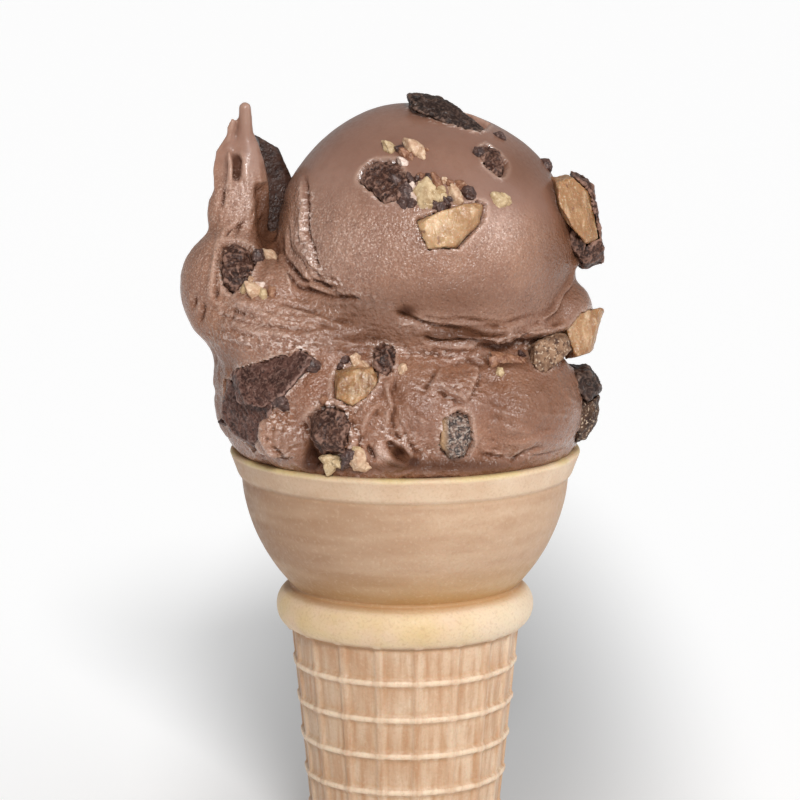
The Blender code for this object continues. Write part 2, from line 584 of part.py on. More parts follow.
SHOWN_CRUMBS[DARK] += [(-19.2, 16.2, 1.7), (34.2, 16, 1.0), (-37, 4.2, 0.9), (21, 5, 0.8)]
SHOWN_CRUMBS[BROWN] += [(16.6, 17, 1.2), (20.4, 16.6, 1.0)]
# Crumbs on the unseen side: kind, across, up
BACK_CRUMBS = [(PALE, -14, 50), (PALE, -2, 55), (DARK, -11, 46), (PALE, 17, 48), (DARK, 15, 38)]
BACK_CRUMBS += [(PALE, 25, 28), (PALE, -2, 16), (PALE, 14, 15), (DARK, -11, 12), (PALE, -22, 6)]
BACK_CRUMBS += [(DARK, 19, 3), (PALE, 31, 12)]
BACK_CRUMB_RADIUS = 1.3
CRUMB_SHAPE = (1.15, 0.9, 0.95)
CRUMB_RISE = 0.35
CORNER_CUTS = 5
CORNER_SHAVE = 0.55
CORNER_TILT = (0.55, 1.1)
SIDE_LEAN = (-4, 14)
BACK_DEPTH = 5.5


def chip_outline(across, up, width, height, turn, draw):
    """Uneven five-sided outline of a broken piece."""
    points = []
    for i in range(5):
        angle = math.tau * (i + draw.uniform(-0.22, 0.22)) / 5
        reach = draw.uniform(0.9, 1.08)
        x = math.cos(angle) * width / 2 * reach
        y = math.sin(angle) * height / 2 * reach
        c, s = math.cos(math.radians(turn)), math.sin(math.radians(turn))
        points.append((across + x * c - y * s, up + x * s + y * c))
    return points


def cut_block(centre, planes, grow=0.0):
    """Convex block left when every plane has cut off what lies beyond it."""
    bm = bmesh.new()
    bmesh.ops.create_cube(bm, size=BLOCK_REACH, matrix=Matrix.Translation(centre))
    for normal, distance in planes:
        geometry = bm.verts[:] + bm.edges[:] + bm.faces[:]
        cut = bmesh.ops.bisect_plane(
            bm,
            geom=geometry,
            dist=0.0001,
            plane_co=centre + normal * (distance + grow),
            plane_no=normal,
            clear_outer=True,
        )
        edges = [e for e in cut["geom_cut"] if isinstance(e, bmesh.types.BMEdge)]
        if edges:
            bmesh.ops.contextual_create(bm, geom=edges)
    bmesh.ops.recalc_face_normals(bm, faces=bm.faces[:])
    return bm


def piece_planes(outline, shape, side, tree, draw):
    """Centre and cutting planes of one part of a broken piece."""
    right, high, inward, eye = view_axes(side)
    middle = sum((Vector(p) for p in outline), Vector((0, 0))) / len(outline)
    aim = VIEW_ZERO + right * middle.x + high * middle.y
    if "at" in shape:
        centre = eye + (aim - eye) * ((shape["at"] - eye.y) / (aim.y - eye.y))
    else:
        centre = seen_on(tree, middle.x, middle.y, side)[0] - inward * shape["proud"]
    shrink = (centre - eye).dot(inward) / (VIEW_ZERO - eye).dot(inward)
    yaw, pitch = math.radians(shape["yaw"]), math.radians(shape["pitch"])
    front = right * math.sin(yaw) * math.cos(pitch) + high * math.sin(pitch)
    front -= inward * math.cos(yaw) * math.cos(pitch)
    planes = []
    for a, b in zip(outline, outline[1:] + outline[:1]):
        dx, dy = b[0] - a[0], b[1] - a[1]
        flat = Vector((dy, -dx)).normalized()
        if (Vector(a) - middle).dot(flat) < 0:
            flat = -flat
        reach = (Vector(a) - middle).dot(flat) * shrink
        lean = math.radians(draw.uniform(*SIDE_LEAN))
        normal = (right * flat.x + high * flat.y) * math.cos(lean) - inward * math.sin(lean)
        planes.append((normal, reach * math.cos(lean)))
    planes.append((front, 0.0))
    planes.append((inward, shape["deep"]))
    block = cut_block(centre, planes)
    for i in range(CORNER_CUTS):
        angle = math.tau * (i + draw.random() * 0.8) / CORNER_CUTS
        tilt = draw.uniform(*CORNER_TILT)
        normal = right * math.cos(angle) + high * math.sin(angle)
        normal = (normal * math.cos(tilt) + front * math.sin(tilt)).normalized()
        reach = max((v.co - centre).dot(normal) for v in block.verts)
        planes.append((normal, reach - CORNER_SHAVE * draw.uniform(0.7, 1.5)))
    block.free()
    return centre, planes


def all_pieces(tree):
    """Name, kind and (centre, planes) of the parts of every broken piece."""
    listed = []
    for name, (kind, parts) in SHOWN_PIECES.items():
        draw = random.Random(name)
        blocks = [piece_planes(outline, shape, FRONT, tree, draw) for outline, shape in parts]
        listed.append((name, kind, blocks))
    for name, (kind, across, up, width, height, turn) in BACK_PIECES.items():
        draw = random.Random(name)
        outline = chip_outline(across, up, width, height, turn, draw)
        shape = dict(proud=draw.uniform(0.8, 1.6), deep=BACK_DEPTH, yaw=across * 0.7, pitch=8)
        listed.append((name, kind, [piece_planes(outline, shape, BACK, tree, draw)]))
    return listed


def crumb_places():
    """Across, up, radius and side of every crumb."""
    places = [(*spot, FRONT) for spots in SHOWN_CRUMBS.values() for spot in spots]
    return places + [(x, y, BACK_CRUMB_RADIUS, BACK) for _, x, y in BACK_CRUMBS]


def crumb(name, point, normal, radius, group):
    """One fused crumb, an uneven twenty-sided grain."""
    draw = random.Random(name)
    bm = bmesh.new()
    turn = Euler([draw.uniform(0, math.tau) for _ in range(3)]).to_matrix().to_4x4()
    shape = Matrix.Diagonal((*(radius * side for side in CRUMB_SHAPE), 1))
    place = Matrix.Translation(point + normal * radius * CRUMB_RISE)
    bmesh.ops.create_icosphere(bm, subdivisions=1, radius=1.0, matrix=place @ turn @ shape)
    return as_cutter(object_from_bmesh(name, bm, group))


# Boolean steps, each applied at once


def open_edges(mesh):
    bm = bmesh.new()
    bm.from_mesh(mesh)
    count = sum(1 for edge in bm.edges if len(edge.link_faces) != 2)
    bm.free()
    return count


def combined(mesh, others, operation, helpers):
    """Result of one Boolean between a mesh and a collection, whose objects are then removed."""
    for solver in ("EXACT", "MANIFOLD"):
        body = object_from_mesh("body", mesh.copy(), helpers)
        change = body.modifiers.new("change", "BOOLEAN")
        change.operation = operation
        change.operand_type = "COLLECTION"
        change.collection = others
        change.solver = solver
        made = main_body(evaluated_mesh(body))
        bpy.data.objects.remove(body)
        if not open_edges(made):
            break
    for other in list(others.objects):
        bpy.data.objects.remove(other)
    return made


def main_body(mesh):
    """Keeps the largest island, in triangles."""
    bm = bmesh.new()
    bm.from_mesh(mesh)
    bmesh.ops.triangulate(bm, faces=bm.faces[:])
    left = set(bm.verts)
    islands = []
    while left:
        island, front = set(), [left.pop()]
        while front:
            v = front.pop()
            island.add(v)
            fresh = [e.other_vert(v) for e in v.link_edges if e.other_vert(v) in left]
            left.difference_update(fresh)
            front.extend(fresh)
        islands.append(island)
    islands.sort(key=len)
    for island in islands[:-1]:
        bmesh.ops.delete(bm, geom=list(island), context="VERTS")
    bm.to_mesh(mesh)
    bm.free()
    return mesh


def without_slivers(mesh):
    """Closes up edges shorter than a sliver, unless that would open the skin."""
    bm = bmesh.new()
    bm.from_mesh(mesh)
    bmesh.ops.dissolve_degenerate(bm, edges=bm.edges[:], dist=SLIVER)
    bmesh.ops.triangulate(bm, faces=bm.faces[:])
    tidied = bpy.data.meshes.new("tidied")
    bm.to_mesh(tidied)
    bm.free()
    return mesh if open_edges(tidied) else tidied


def trimmed_foot(mesh, height):
    """Cuts the skin flat at a height and keeps what is above."""
    bm = bmesh.new()
    bm.from_mesh(mesh)
    cut = bmesh.ops.bisect_plane(
        bm,
        geom=bm.verts[:] + bm.edges[:] + bm.faces[:],
        plane_co=(0, 0, height),
        plane_no=(0, 0, -1),
        clear_outer=True,
    )
    edges = [e for e in cut["geom_cut"] if isinstance(e, bmesh.types.BMEdge)]
    bmesh.ops.contextual_create(bm, geom=edges)
    bmesh.ops.triangulate(bm, faces=bm.faces[:])
    bm.to_mesh(mesh)
    bm.free()


def fill_plug(group):
    """The custard inside the cup."""
    mouth = RIM_RADIUS - WALL - GAP
    outline = cavity_outline(GAP)
    outline += [(mouth, CUP_HEIGHT - RIM_EDGE), (mouth, PLUG_TOP), (0.0, PLUG_TOP)]
    plug = turned_solid("fill_plug", outline, group, scale=1.0)
    plug.modifiers["turn"].merge_threshold = PLUG_MERGE
    return plug


def add_crumbs(mesh, tree, helpers):
    grains = new_collection("crumbs", helpers)
    for i, (x, y, radius, side) in enumerate(crumb_places()):
        point, normal = seen_on(tree, x, y, side)
        if point:
            crumb(f"crumb_{i:02d}", point, normal, radius, grains)
    return combined(mesh, grains, "UNION", helpers)


def cut_sockets(mesh, pieces, helpers):
    sockets = new_collection("sockets", helpers)
    for name, _, blocks in pieces:
        for i, (centre, planes) in enumerate(blocks):
            bm = cut_block(centre, planes, grow=SOCKET_GAP)
            as_cutter(object_from_bmesh(f"{name}_socket_{i}", bm, sockets))
    return combined(mesh, sockets, "DIFFERENCE", helpers)


def seam_height(x, y):
    """Height at which the upper scoop rests on the lower one."""
    front = np.interp(x, [p[0] for p in FRONT_SEAM], [p[1] for p in FRONT_SEAM])
    back = np.interp(x, [p[0] for p in BACK_SEAM], [p[1] for p in BACK_SEAM])
    share = 0.5 + 0.5 * math.tanh(y / 8)
    seen = front * (1 - share) + back * share
    return CUP_HEIGHT + (seen + math.sin(VIEW_TILT) * math.hypot(y, 3)) / math.cos(VIEW_TILT)


def seam_block(name, keep_above, group):
    """Everything on one side of the seam, as a block to cut away."""
    bm = bmesh.new()
    cells = int(2 * SEAM_REACH / SEAM_CELL)
    bmesh.ops.create_grid(bm, x_segments=cells, y_segments=cells, size=SEAM_REACH)
    for v in bm.verts:
        gap = SEAM_GAP / 2 if keep_above else -SEAM_GAP / 2
        v.co.z = seam_height(v.co.x, v.co.y) + gap
    far = SEAM_BELOW if keep_above else SEAM_ABOVE
    walls = bmesh.ops.extrude_face_region(bm, geom=bm.faces[:])
    for v in [g for g in walls["geom"] if isinstance(g, bmesh.types.BMVert)]:
        v.co.z = far
    bmesh.ops.recalc_face_normals(bm, faces=bm.faces[:])
    return as_cutter(object_from_bmesh(name, bm, group))


def make_scoops(skin, pieces, tree, group, helpers, material):
    body = thinned(skin, SKIN_TRIANGLES, helpers)
    trimmed_foot(body, CUSTARD_FOOT)
    fill = new_collection("fill", helpers)
    fill_plug(fill)
    body = combined(body, fill, "UNION", helpers)
    body = add_crumbs(body, tree, helpers)
    body = cut_sockets(body, pieces, helpers)
    for name, keep_above in (("upper_scoop", True), ("lower_scoop", False)):
        seam = new_collection(name + "_seam", helpers)
        seam_block(name + "_block", keep_above, seam)
        mesh = without_slivers(combined(body, seam, "DIFFERENCE", helpers))
        mesh.transform(Matrix.Scale(MM, 4))
        object_from_mesh(name, mesh, group, material)


def make_pieces(pieces, group, helpers, materials):
    """Every broken piece, cut clear of the ones listed before it."""
    before = []
    for name, kind, blocks in pieces:
        (middle, planes), *others = blocks
        mesh = bpy.data.meshes.new(name)
        bm = cut_block(middle, planes)
        bm.to_mesh(mesh)
        bm.free()
        for centre, cuts in others:
            more = new_collection(name + "_more", helpers)
            object_from_bmesh(name + "_part", cut_block(centre, cuts), more)
            mesh = combined(mesh, more, "UNION", helpers)
        reach = max((v.co - middle).length for v in mesh.vertices)
        near = [b for b in before if (b[0] - middle).length < reach + b[2]]
        if near:
            clear = new_collection(name + "_clearance", helpers)
            for i, (centre, cuts, _) in enumerate(near):
                block = cut_block(centre, cuts, grow=SOCKET_GAP)
                object_from_bmesh(f"{name}_clear_{i}", block, clear)
            mesh = combined(mesh, clear, "DIFFERENCE", helpers)
        before += [(centre, cuts, reach) for centre, cuts in blocks]
        mesh = main_body(mesh)
        mesh.transform(Matrix.Scale(MM, 4))
        object_from_mesh(name, mesh, group, materials[kind])


def main():
    clear_scene()
    group = new_collection("frozen_custard")
    helpers = new_collection("helpers")
    helpers.hide_render = True
    custard = plain_material("custard", (0.26, 0.15, 0.10), 0.4)
    materials = {
        CHOCOLATE: plain_material("chocolate", (0.05, 0.025, 0.018), 0.4),
        TOFFEE: plain_material("toffee", (0.55, 0.33, 0.14), 0.35),
        BISCUIT: plain_material("biscuit", (0.22, 0.15, 0.09), 0.7),
    }
    make_cup(group, helpers, plain_material("wafer", (0.72, 0.50, 0.28), 0.7))
    skin = custard_skin(helpers)
    tree = skin_tree(skin)
    pieces = all_pieces(tree)
    make_scoops(skin, pieces, tree, group, helpers, custard)
    make_pieces(pieces, group, helpers, materials)


if __name__ == "__main__":
    main()
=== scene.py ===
"""Looks of the frozen custard: two granular chocolate scoops in a moulded wafer cup.

Lengths are millimetres until a finished mesh is scaled to metres. Places on a scoop are given as
they are seen from ten degrees above its shown side: across is measured from the cup's axis and up
from the middle of the rim.
"""

import json
import math

import bmesh
import bpy
import numpy as np
from mathutils import Euler, Matrix, Vector, noise
from mathutils.bvhtree import BVHTree

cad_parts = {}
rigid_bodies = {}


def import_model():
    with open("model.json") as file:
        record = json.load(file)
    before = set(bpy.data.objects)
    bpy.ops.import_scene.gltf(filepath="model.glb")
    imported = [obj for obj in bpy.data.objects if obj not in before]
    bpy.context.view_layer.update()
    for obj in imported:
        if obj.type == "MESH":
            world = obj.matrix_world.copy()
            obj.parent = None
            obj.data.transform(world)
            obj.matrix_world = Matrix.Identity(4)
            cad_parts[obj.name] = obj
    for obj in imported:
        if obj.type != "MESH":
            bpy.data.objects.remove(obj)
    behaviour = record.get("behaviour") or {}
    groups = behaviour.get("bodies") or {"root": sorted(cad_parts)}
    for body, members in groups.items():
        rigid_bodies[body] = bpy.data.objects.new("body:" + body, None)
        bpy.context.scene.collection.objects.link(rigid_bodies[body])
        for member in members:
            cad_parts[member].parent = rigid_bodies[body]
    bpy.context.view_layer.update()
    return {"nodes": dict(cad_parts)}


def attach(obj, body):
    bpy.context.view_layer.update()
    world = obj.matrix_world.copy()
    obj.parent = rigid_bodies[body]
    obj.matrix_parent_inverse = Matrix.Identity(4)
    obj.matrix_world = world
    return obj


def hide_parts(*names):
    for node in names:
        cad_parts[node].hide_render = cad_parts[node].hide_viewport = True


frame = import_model()

MM = 0.001

# Camera
VIEW_TILT = math.radians(10)
VIEW_DISTANCE = 700.0
VIEW_AIM = Vector((-1.0, 0.0, 94.34))
VIEW_WIDTH = 160.0
SENSOR = 36.0
FLOOR_GLOW = 0.25
# Painted shadow on the floor behind the cup: its centre, reach, edge of fall-off and depth
PAINTED_SHADOW_CENTRE = (10.0, 120.0, 0.0)
PAINTED_SHADOW_REACH = (45.0, 230.0, 1000.0)
PAINTED_SHADOW_EDGE = (1.65, 0.3)
PAINTED_SHADOW_DEPTH = 0.6
SKY = 0.36
FRONT, BACK = -1, 1
# Lights: name, where from, width in degrees, strength
LIGHTS = [("key", (0.14, -1.0, 0.62), 13.0, 2.1), ("side", (1.0, -0.5, 0.6), 60.0, 0.75)]
# Rounds of softening and the depth of a full hollow, on custard, wafer and broken pieces
CUSTARD_HOLLOW, WAFER_HOLLOW, PIECE_HOLLOW = (14, 0.45), (12, 0.5), (8, 0.3)

# Wafer cup
CUP_HEIGHT = 85.0
RIM_RADIUS = 35.0
RIM_BAND_HEIGHT = 5.2
RIM_BAND_FLARE = 1.9
RIM_EDGE = 0.7
BAND_FOOT = CUP_HEIGHT - RIM_BAND_HEIGHT
WALL = 2.2
BOWL_RADIUS = 32.8
BOWL_CENTRE = 81.0
BOWL_DEPTH = 34.0
BOWL_POWER = 1.9
WAIST = 57.0
COLLAR_CENTRE = 52.9
COLLAR_CORE_RADIUS = 21.9
COLLAR_BULGE = 4.0
COLLAR_HALF_HEIGHT = 4.4
STEM_TOP = 48.9
STEM_TOP_RADIUS = 22.5
STEM_TAPER = 0.098
RING_RIB_TOP = 41.5
RING_RIB_SPACING = 7.6
RING_RIB_COUNT = 5
RING_RIB_WIDTH = 2.0
RING_RIB_HEIGHT = 0.75
UPRIGHT_RIB_COUNT = 18
UPRIGHT_RIB_TURN = math.radians(-3.4)
UPRIGHT_RIB_WIDTH = 1.7
UPRIGHT_RIB_HEIGHT = 0.5
RIB_LOST_AT_RINGS = 0.7
RIB_CROWDING = 0.45
FOOT_BAND_HEIGHT = 3.4
FOOT_BAND_PROUD = 0.5
FOOT_EDGE = 0.7
FLOOR = 3.0
CUP_STEPS = 360
OUTLINE_STEP = 0.42
MERGE_GAP = 0.01
CUP_WARP = 0.28
CUP_WARP_SCALE = 0.11
# Painted shade on the bowl's left and painted light on the collar's right: across in millimetres where each
# begins and is full
LEFT_SHADE = (6.0, -34.0)
RIGHT_LIGHT = (6.0, 20.0)
CUP_WELD = 0.002
# Height of the step under the rim band, from its lowest to its highest point
BAND_STEP = (BAND_FOOT - 0.35, BAND_FOOT + 0.45)
# Middle of the mouth, from which places on the scoops are measured
VIEW_ZERO = Vector((0.0, 0.0, CUP_HEIGHT))

# Custard
COARSE_VOXEL = 0.9
FINE_VOXEL = 0.397
SMOOTHING = 6
MERGE_SMOOTHING = 45
# Unevenness: size, shift of the noise, height, more of it low down, share that the smooth crown lacks
UNEVENNESS = [(11.0, 0.0, 0.35, 0.0, 0.0), (4.5, 7.0, 0.1, 0.3, 0.7), (1.9, 3.0, 0.06, 0.1, 1.0)]
LOW_FROM = 112.0
LOW_BLEND = 8.0
TORN_SIZE = 0.9
TORN_ROUGH = 1.1
TORN_SUNK = 0.1
FINE_GRAIN = 0.05
WANDER_SIZE = 6.0
PATCH_SIZE = 2.5
LINE_WANDER, FOLD_WANDER, DRAG_WANDER = 0.3, 0.2, 0.5
LINE_FADE, FOLD_FADE, DRAG_FADE = 1.5, 2.5, 4.0
LINE_PATCHES, FOLD_PATCHES = 0.5, 0.35
FOLD_FOOT = 0.8
CROWN_FROM = 132.0
CROWN_BLEND = 7.0
CROWN_LEAN = 0.12
CROWN_WAVER = 2.5
TUCK_FROM = 88.2
TUCK_HEIGHT = 3.2
TUCK_RADIUS = 35.6
TUCK_IN = 2.0
TUCK_LESS_AHEAD = 1.6
TUCK_WAVER = 0.5
TUCK_AHEAD = 0.82
SEAM_TURN = 8.0
CUSTARD_FOOT = CUP_HEIGHT - 0.1
PLUG_GAP = 0.3
STREAK_STRETCH = 7.0
LAP_REACH = 0.8
LAP_RISE = 0.3
LAP_SIZE = 1.8
LAP_LIP = 0.7
LAP_UNEVEN = 0.9
BARE_REACH = 2.2
BARE_CLEARANCE = 0.4
BARE_FLANK = (-31.0, -37.0)
LOW_TINTED = (114.0, 102.0)
LOW_TINT = (1.0, 0.91, 0.82)

# Lumps of the soft body: centre, radii, tilt in degrees
LUMPS = {
    "ball": ((4, 0, 123.6), (30, 29.5, 29.4)),
    "ball_top_left": ((0.8, 0, 124.8), (26.5, 27, 29)),
    "left_lobe": ((-33, -4, 117.2), (11.6, 13, 13)),
    "lobe_hollow": ((-26, -9, 114), (12, 12.5, 11)),
    "front_skirt": ((-17, -10.5, 108), (21.5, 15.8, 10.5), (0, 6, 10)),
    "left_skirt": ((-27, 3, 107), (12.6, 16, 10)),
    "lobe_back": ((-23, 11, 115), (14, 13, 14)),
    "right_bulge": ((31.5, -3.5, 113.6), (5.6, 9, 5.2), (0, -20, 0)),
    "seam_fold": ((9, -4, 110.4), (25.5, 22.5, 3.6), (0, -3, 0)),
    "back_fold": ((10, 16, 109.5), (20, 14, 8), (0, -6, -10)),
    "dome": ((-1.6, 0, 94.5), (36.4, 34.8, 19.5)),
    "rim_roll": ((-0.2, -0.1, 86.6), (35, 34.2, 7.5)),
    "left_shoulder": ((-22.6, -4, 99.5), (15.4, 22, 11)),
    "left_front": ((-14, -10, 98.5), (20, 20.6, 11.5)),
    "right_cheek": ((20, -8, 95), (15, 22.5, 13.5)),
    "coated_lump": ((-24.2, -24.6, 91.2), (5, 5.4, 6)),
    "socket_ring": ((-13.6, -29.4, 92), (5, 5, 6.2)),
    "front_lump": ((-8.6, -31.2, 90.6), (3.2, 3.2, 5.2)),
    "curl": ((-2.6, -31.4, 88.6), (6, 3.8, 3), (0, 38, 0)),
    "buried_piece": ((19, -20.4, 104.2), (5.2, 4.6, 2.6), (0, 6, 0)),
    "back_left_lump": ((-20, 24, 92), (10, 9, 8)),
    "back_right_lump": ((22, 22.5, 93), (9, 8, 8)),
}
EAR_SPINE = [(-33, -2.6, 132), (-31.8, -2.4, 137.3), (-31.2, -2.2, 141.4)]
EAR_SPINE += [(-31, -2, 145.4), (-31.8, -1.8, 149.5), (-31.6, -1.6, 152.6)]
EAR_RADII = [6.6, 5.2, 4, 2.6, 1.4, 1.1]
EAR_FLAP = [(-34, -1.8, 147.7), (-35.6, -2.2, 145.6), (-36, -2.5, 143), (-36, -2.6, 140.6)]
EAR_FLAP += [(-35.6, -2.6, 138)]
EAR_FLAP_RADII = [0.9, 1.2, 1.3, 1.4, 1.6]
LOWER_FLAP = [(-36.6, -2.8, 137.4), (-36.8, -3, 135.2), (-36.6, -3, 133), (-35.8, -3, 131.4)]
LOWER_FLAP_RADII = [1, 1, 1.1, 1.4]
# Crisp forms on the soft body, as points and radii
CRISP_STRANDS = [
    ([(-33.2, -1.2, 149), (-34.4, -1.2, 145), (-34.8, -1.2, 140.5)], [1, 1.8, 2.2]),
    ([(-34.8, -1.2, 140.5), (-34.6, -1.4, 136)], [2.2, 2.4]),
    ([(-31.5, -1.8, 152.9), (-31.4, -2, 150), (-31.3, -2.1, 147), (-30.7, -2.3, 143)], [1.3, 1.4, 1.6, 2.4]),
    ([(-33.9, -2.4, 150.4), (-34.3, -2.4, 148.8)], [0.6, 0.85]),
    ([(-34.3, -2.4, 148.2), (-34.6, -2.6, 146.8)], [0.8, 0.9]),
    ([(-34.9, -2.4, 146.8), (-36.6, -2.6, 144.4), (-37.2, -3, 141)], [0.7, 0.8, 0.9]),
    ([(-37.2, -3, 141), (-37, -3.2, 138), (-36, -4.2, 134.5)], [0.9, 0.9, 1]),
    ([(-34.6, -4.2, 144.2), (-34.2, -5.2, 141), (-34.6, -5.6, 138)], [0.5, 0.8, 0.9]),
    ([(-37.4, -3, 136.6), (-37.6, -3.2, 134), (-37, -3.4, 131.4)], [0.5, 0.7, 0.9]),
]
MERGED_TO = -1
MERGED_BLEND = 8
MERGED_BAND = (21, 9)

# Where the upper scoop meets the lower one, as (across, up) on the front and on the back
FRONT_SEAM = [(-44, 15), (-30, 17), (-20, 19.2), (-8, 21), (3, 21.6), (15.4, 19.4), (24.6, 20.6), (44, 27.5)]
BACK_SEAM = [(-44, 27.5), (-30, 24), (-16, 22), (2, 20.4), (14, 19.6), (30, 17), (44, 15)]

# Sunk (-) and raised (+) lines on the skin: places, rise, half width
FRONT_LINES = [
    ([(-20, 54.4), (-19.9, 47.2), (-20.1, 43.4), (-18.7, 39.8), (-17.6, 36)], -0.7, 0.35),
    ([(-24.4, 50), (-24, 44), (-22.4, 39), (-19.6, 34)], -0.4, 0.8),
    ([(-28.6, 53), (-28.4, 47), (-27.2, 41), (-26, 38)], -1.6, 1.6),
    ([(-19, 36), (-16.4, 31.6), (-12, 28)], -0.8, 0.6),
    ([(-2.4, 26.8), (3.4, 24.8), (6.8, 23.6), (11.4, 23), (16.4, 22), (20.8, 22.4)], -1.3, 0.55),
    ([(3, 26), (8, 25.2), (14, 25.2), (20, 23.8)], -0.7, 0.5),
    ([(21.4, 22.8), (28, 23.4), (32, 26)], -0.8, 0.8),
    ([(3.4, 21.6), (7.2, 20.5), (12.6, 20.9), (17, 20.5), (18.6, 20.2)], -1.5, 0.45),
    ([(13.8, 19.8), (18.4, 19.4), (21.2, 20), (23.6, 20.9), (26.4, 22.8), (31, 23.8)], -1.2, 0.5),
    ([(15.8, 17.6), (17.6, 16.4), (20, 17.4), (24.6, 17.2)], -1, 0.5),
    ([(-26.4, 39), (-23.6, 34.8), (-21.2, 32), (-15, 29.6), (-9, 29.4)], -0.8, 0.5),
    ([(-24, 37.8), (-22.6, 35.8), (-20.6, 33.4), (-18.6, 32.8), (-13, 31.6)], -0.8, 0.45),
    ([(-25.6, 38.6), (-24.2, 35.2), (-22.8, 30.8)], 0.6, 0.4),
    ([(-42.2, 30.6), (-42.6, 27)], -1, 0.5),
    ([(-40.2, 29), (-41.2, 24)], -0.9, 0.5),
    ([(-33.9, 58.8), (-33.4, 57), (-33.8, 52.8)], -1.8, 0.55),
    ([(-36.5, 52), (-36.8, 47.4)], -1, 0.4),
    ([(34.8, 43), (34.4, 38), (33, 33), (30.2, 28), (27, 24.6)], 0.9, 0.35),
    ([(-33.6, 44), (-36, 41.4), (-37.7, 38.5), (-38.2, 35), (-38.1, 31)], 0.7, 0.25),
    ([(-3.8, 1), (-1.8, -0.9), (0.6, -2.8)], -2.6, 0.8),
    ([(-6.2, 0.4), (-4.6, -1.6), (-2.4, -3.1), (0.8, -4)], 1.1, 0.6),
    ([(-7.5, 0.4), (-6.9, -1.6), (-5.8, -3.4)], -1.4, 0.5),
    ([(15.2, -0.8), (20.2, -1.4)], 0.6, 0.3),
    ([(15, -1.6), (20.6, -2.2)], -0.4, 0.4),
    ([(-20.7, 5.4), (-20.2, 2.8), (-19.4, -0.6), (-17.4, -3.7)], -1.9, 0.8),
    ([(-18.6, 1.4), (-18.4, -2), (-17, -4)], -2.2, 1.1),
    ([(-27.2, 0.2), (-25.4, -1.6), (-23.6, -3)], -1.1, 0.4),
    ([(-27.2, 4), (-26, 3.2)], -1.3, 0.5),
    ([(-28.2, 1.8), (-27, 0.8)], -1.2, 0.5),
    ([(21, -3.6), (24, -1.6), (28, 0)], -0.7, 0.5),
]
# Overlapping folds, proud on the left of their line: places, rise, width of the step, reach
FRONT_FOLDS = [
    ([(-17.6, 34), (-19, 39.4), (-20.5, 43.4), (-20.3, 47.2), (-20.4, 54.4)], 0.7, 0.25, 1.8),
    ([(-38, 27.8), (-38.3, 32.4), (-38, 36.1), (-37.1, 39.8), (-35.5, 43), (-31.8, 46.2)], 0.9, 0.25, 1.4),
    ([(7.4, 16.2), (6.1, 14.2), (3.4, 9.6)], 0.9, 0.25, 1.6),
    ([(5.8, 12.6), (8.6, 10.6), (12.6, 8.4)], 1.2, 0.25, 1.6),
    ([(12.2, 8.4), (13.9, 11.6), (14.8, 14), (14.6, 17)], 0.9, 0.25, 1.6),
    ([(-3.8, 1.8), (-3.2, 5.1), (-2.4, 8.3), (-3, 11), (-2, 14.6)], 0.8, 0.3, 2.4),
    ([(2, -3.6), (1.6, -1.4), (0.2, 0.4), (-2.2, 1.4), (-4, 2.8)], 1.1, 0.3, 1.6),
    ([(-27.3, 7.6), (-29.2, 4.4), (-29.4, 1.6), (-28, -1.5), (-25.6, -4)], 1.1, 0.3, 1.8),
    ([(-9.2, -3), (-9.8, 2), (-12.4, 6.4), (-16, 7.4)], 0.9, 0.3, 1.4),
    ([(-9, 0.6), (-7, 6), (-4.6, 9)], 0.6, 0.3, 1.5),
    ([(-14, 23.4), (-22, 22.4), (-32, 24.6)], 0.5, 0.4, 2),
    ([(-8, 22.4), (-16, 25.6), (-26, 28.6), (-34, 29)], 0.45, 0.4, 1.8),
    ([(8, 16.4), (13, 17.6), (17, 16)], 0.5, 0.3, 1.4),
    ([(6, 4.6), (2, 6.4), (-0.6, 9.6)], 0.5, 0.35, 1.6),
    ([(30, 3), (24, 1), (15, 0.6)], 0.4, 0.35, 1.6),
]
BACK_LINES = [
    ([(18, 54), (21.6, 46), (21, 37), (17, 30)], -1.2, 0.6),
    ([(19.4, 54.6), (22.8, 46), (22.2, 37)], 0.7, 0.45),
    ([(-26, 25), (-12, 23), (4, 23.6), (16, 27)], -1.4, 0.7),
    ([(24, 33), (29, 27), (36, 25)], -0.9, 0.6),
    ([(-30, 24), (-16, 22), (2, 20.4), (14, 19.6)], -1.4, 0.6),
    ([(16, 12), (17.6, 5), (16.6, -1)], -0.9, 0.6),
    ([(30, 56), (31, 49), (34, 42)], -0.9, 0.6),
]
BACK_FOLDS = [
    ([(-4, 39.4), (-14, 41), (-22, 46)], 0.8, 0.3, 1.8),
    ([(36, 27.6), (28.6, 29.4), (23, 36)], 0.8, 0.3, 1.6),
    ([(5, 10.6), (-4, 9.4), (-12, 12)], 0.9, 0.3, 1.6),
    ([(-26, 0), (-25, 8), (-19, 14)], 0.7, 0.3, 1.6),
    ([(8, 0), (11, 7), (9, 14)], 0.7, 0.3, 1.6),
    ([(34, 12), (28, 15), (20, 14)], 0.6, 0.3, 1.6),
]
# Bundles of drag marks: places, spacing, depth, half width of the bundle
FRONT_DRAGS = [
    ([(-22.6, 48), (-22.4, 40), (-18, 33), (-9, 28)], 0.8, 0.45, 3),
    ([(-38, 27), (-28, 24), (-16, 22), (-2, 20)], 1, 0.38, 5),
    ([(-4, 20), (-3, 12), (-1, 4), (2, -3)], 0.9, 0.3, 4.5),
    ([(-12, 6), (-8, 12), (-3, 15)], 0.9, 0.3, 3),
    ([(8, 15), (16, 10), (28, 6), (36, 5)], 1.2, 0.22, 6),
    ([(-32, 58), (-31.6, 49), (-34, 40), (-37, 28)], 0.9, 0.3, 4),
    ([(0, 25.4), (10, 24.4), (20, 24), (30, 27)], 0.8, 0.35, 1.8),
    ([(2, 20), (12, 19), (24, 18)], 0.9, 0.35, 2.4),
    ([(-26, 46), (-30, 36), (-36, 24)], 1.1, 0.22, 4),
    ([(-40, 32), (-32, 28), (-20, 26), (-8, 25)], 1, 0.32, 3),
]
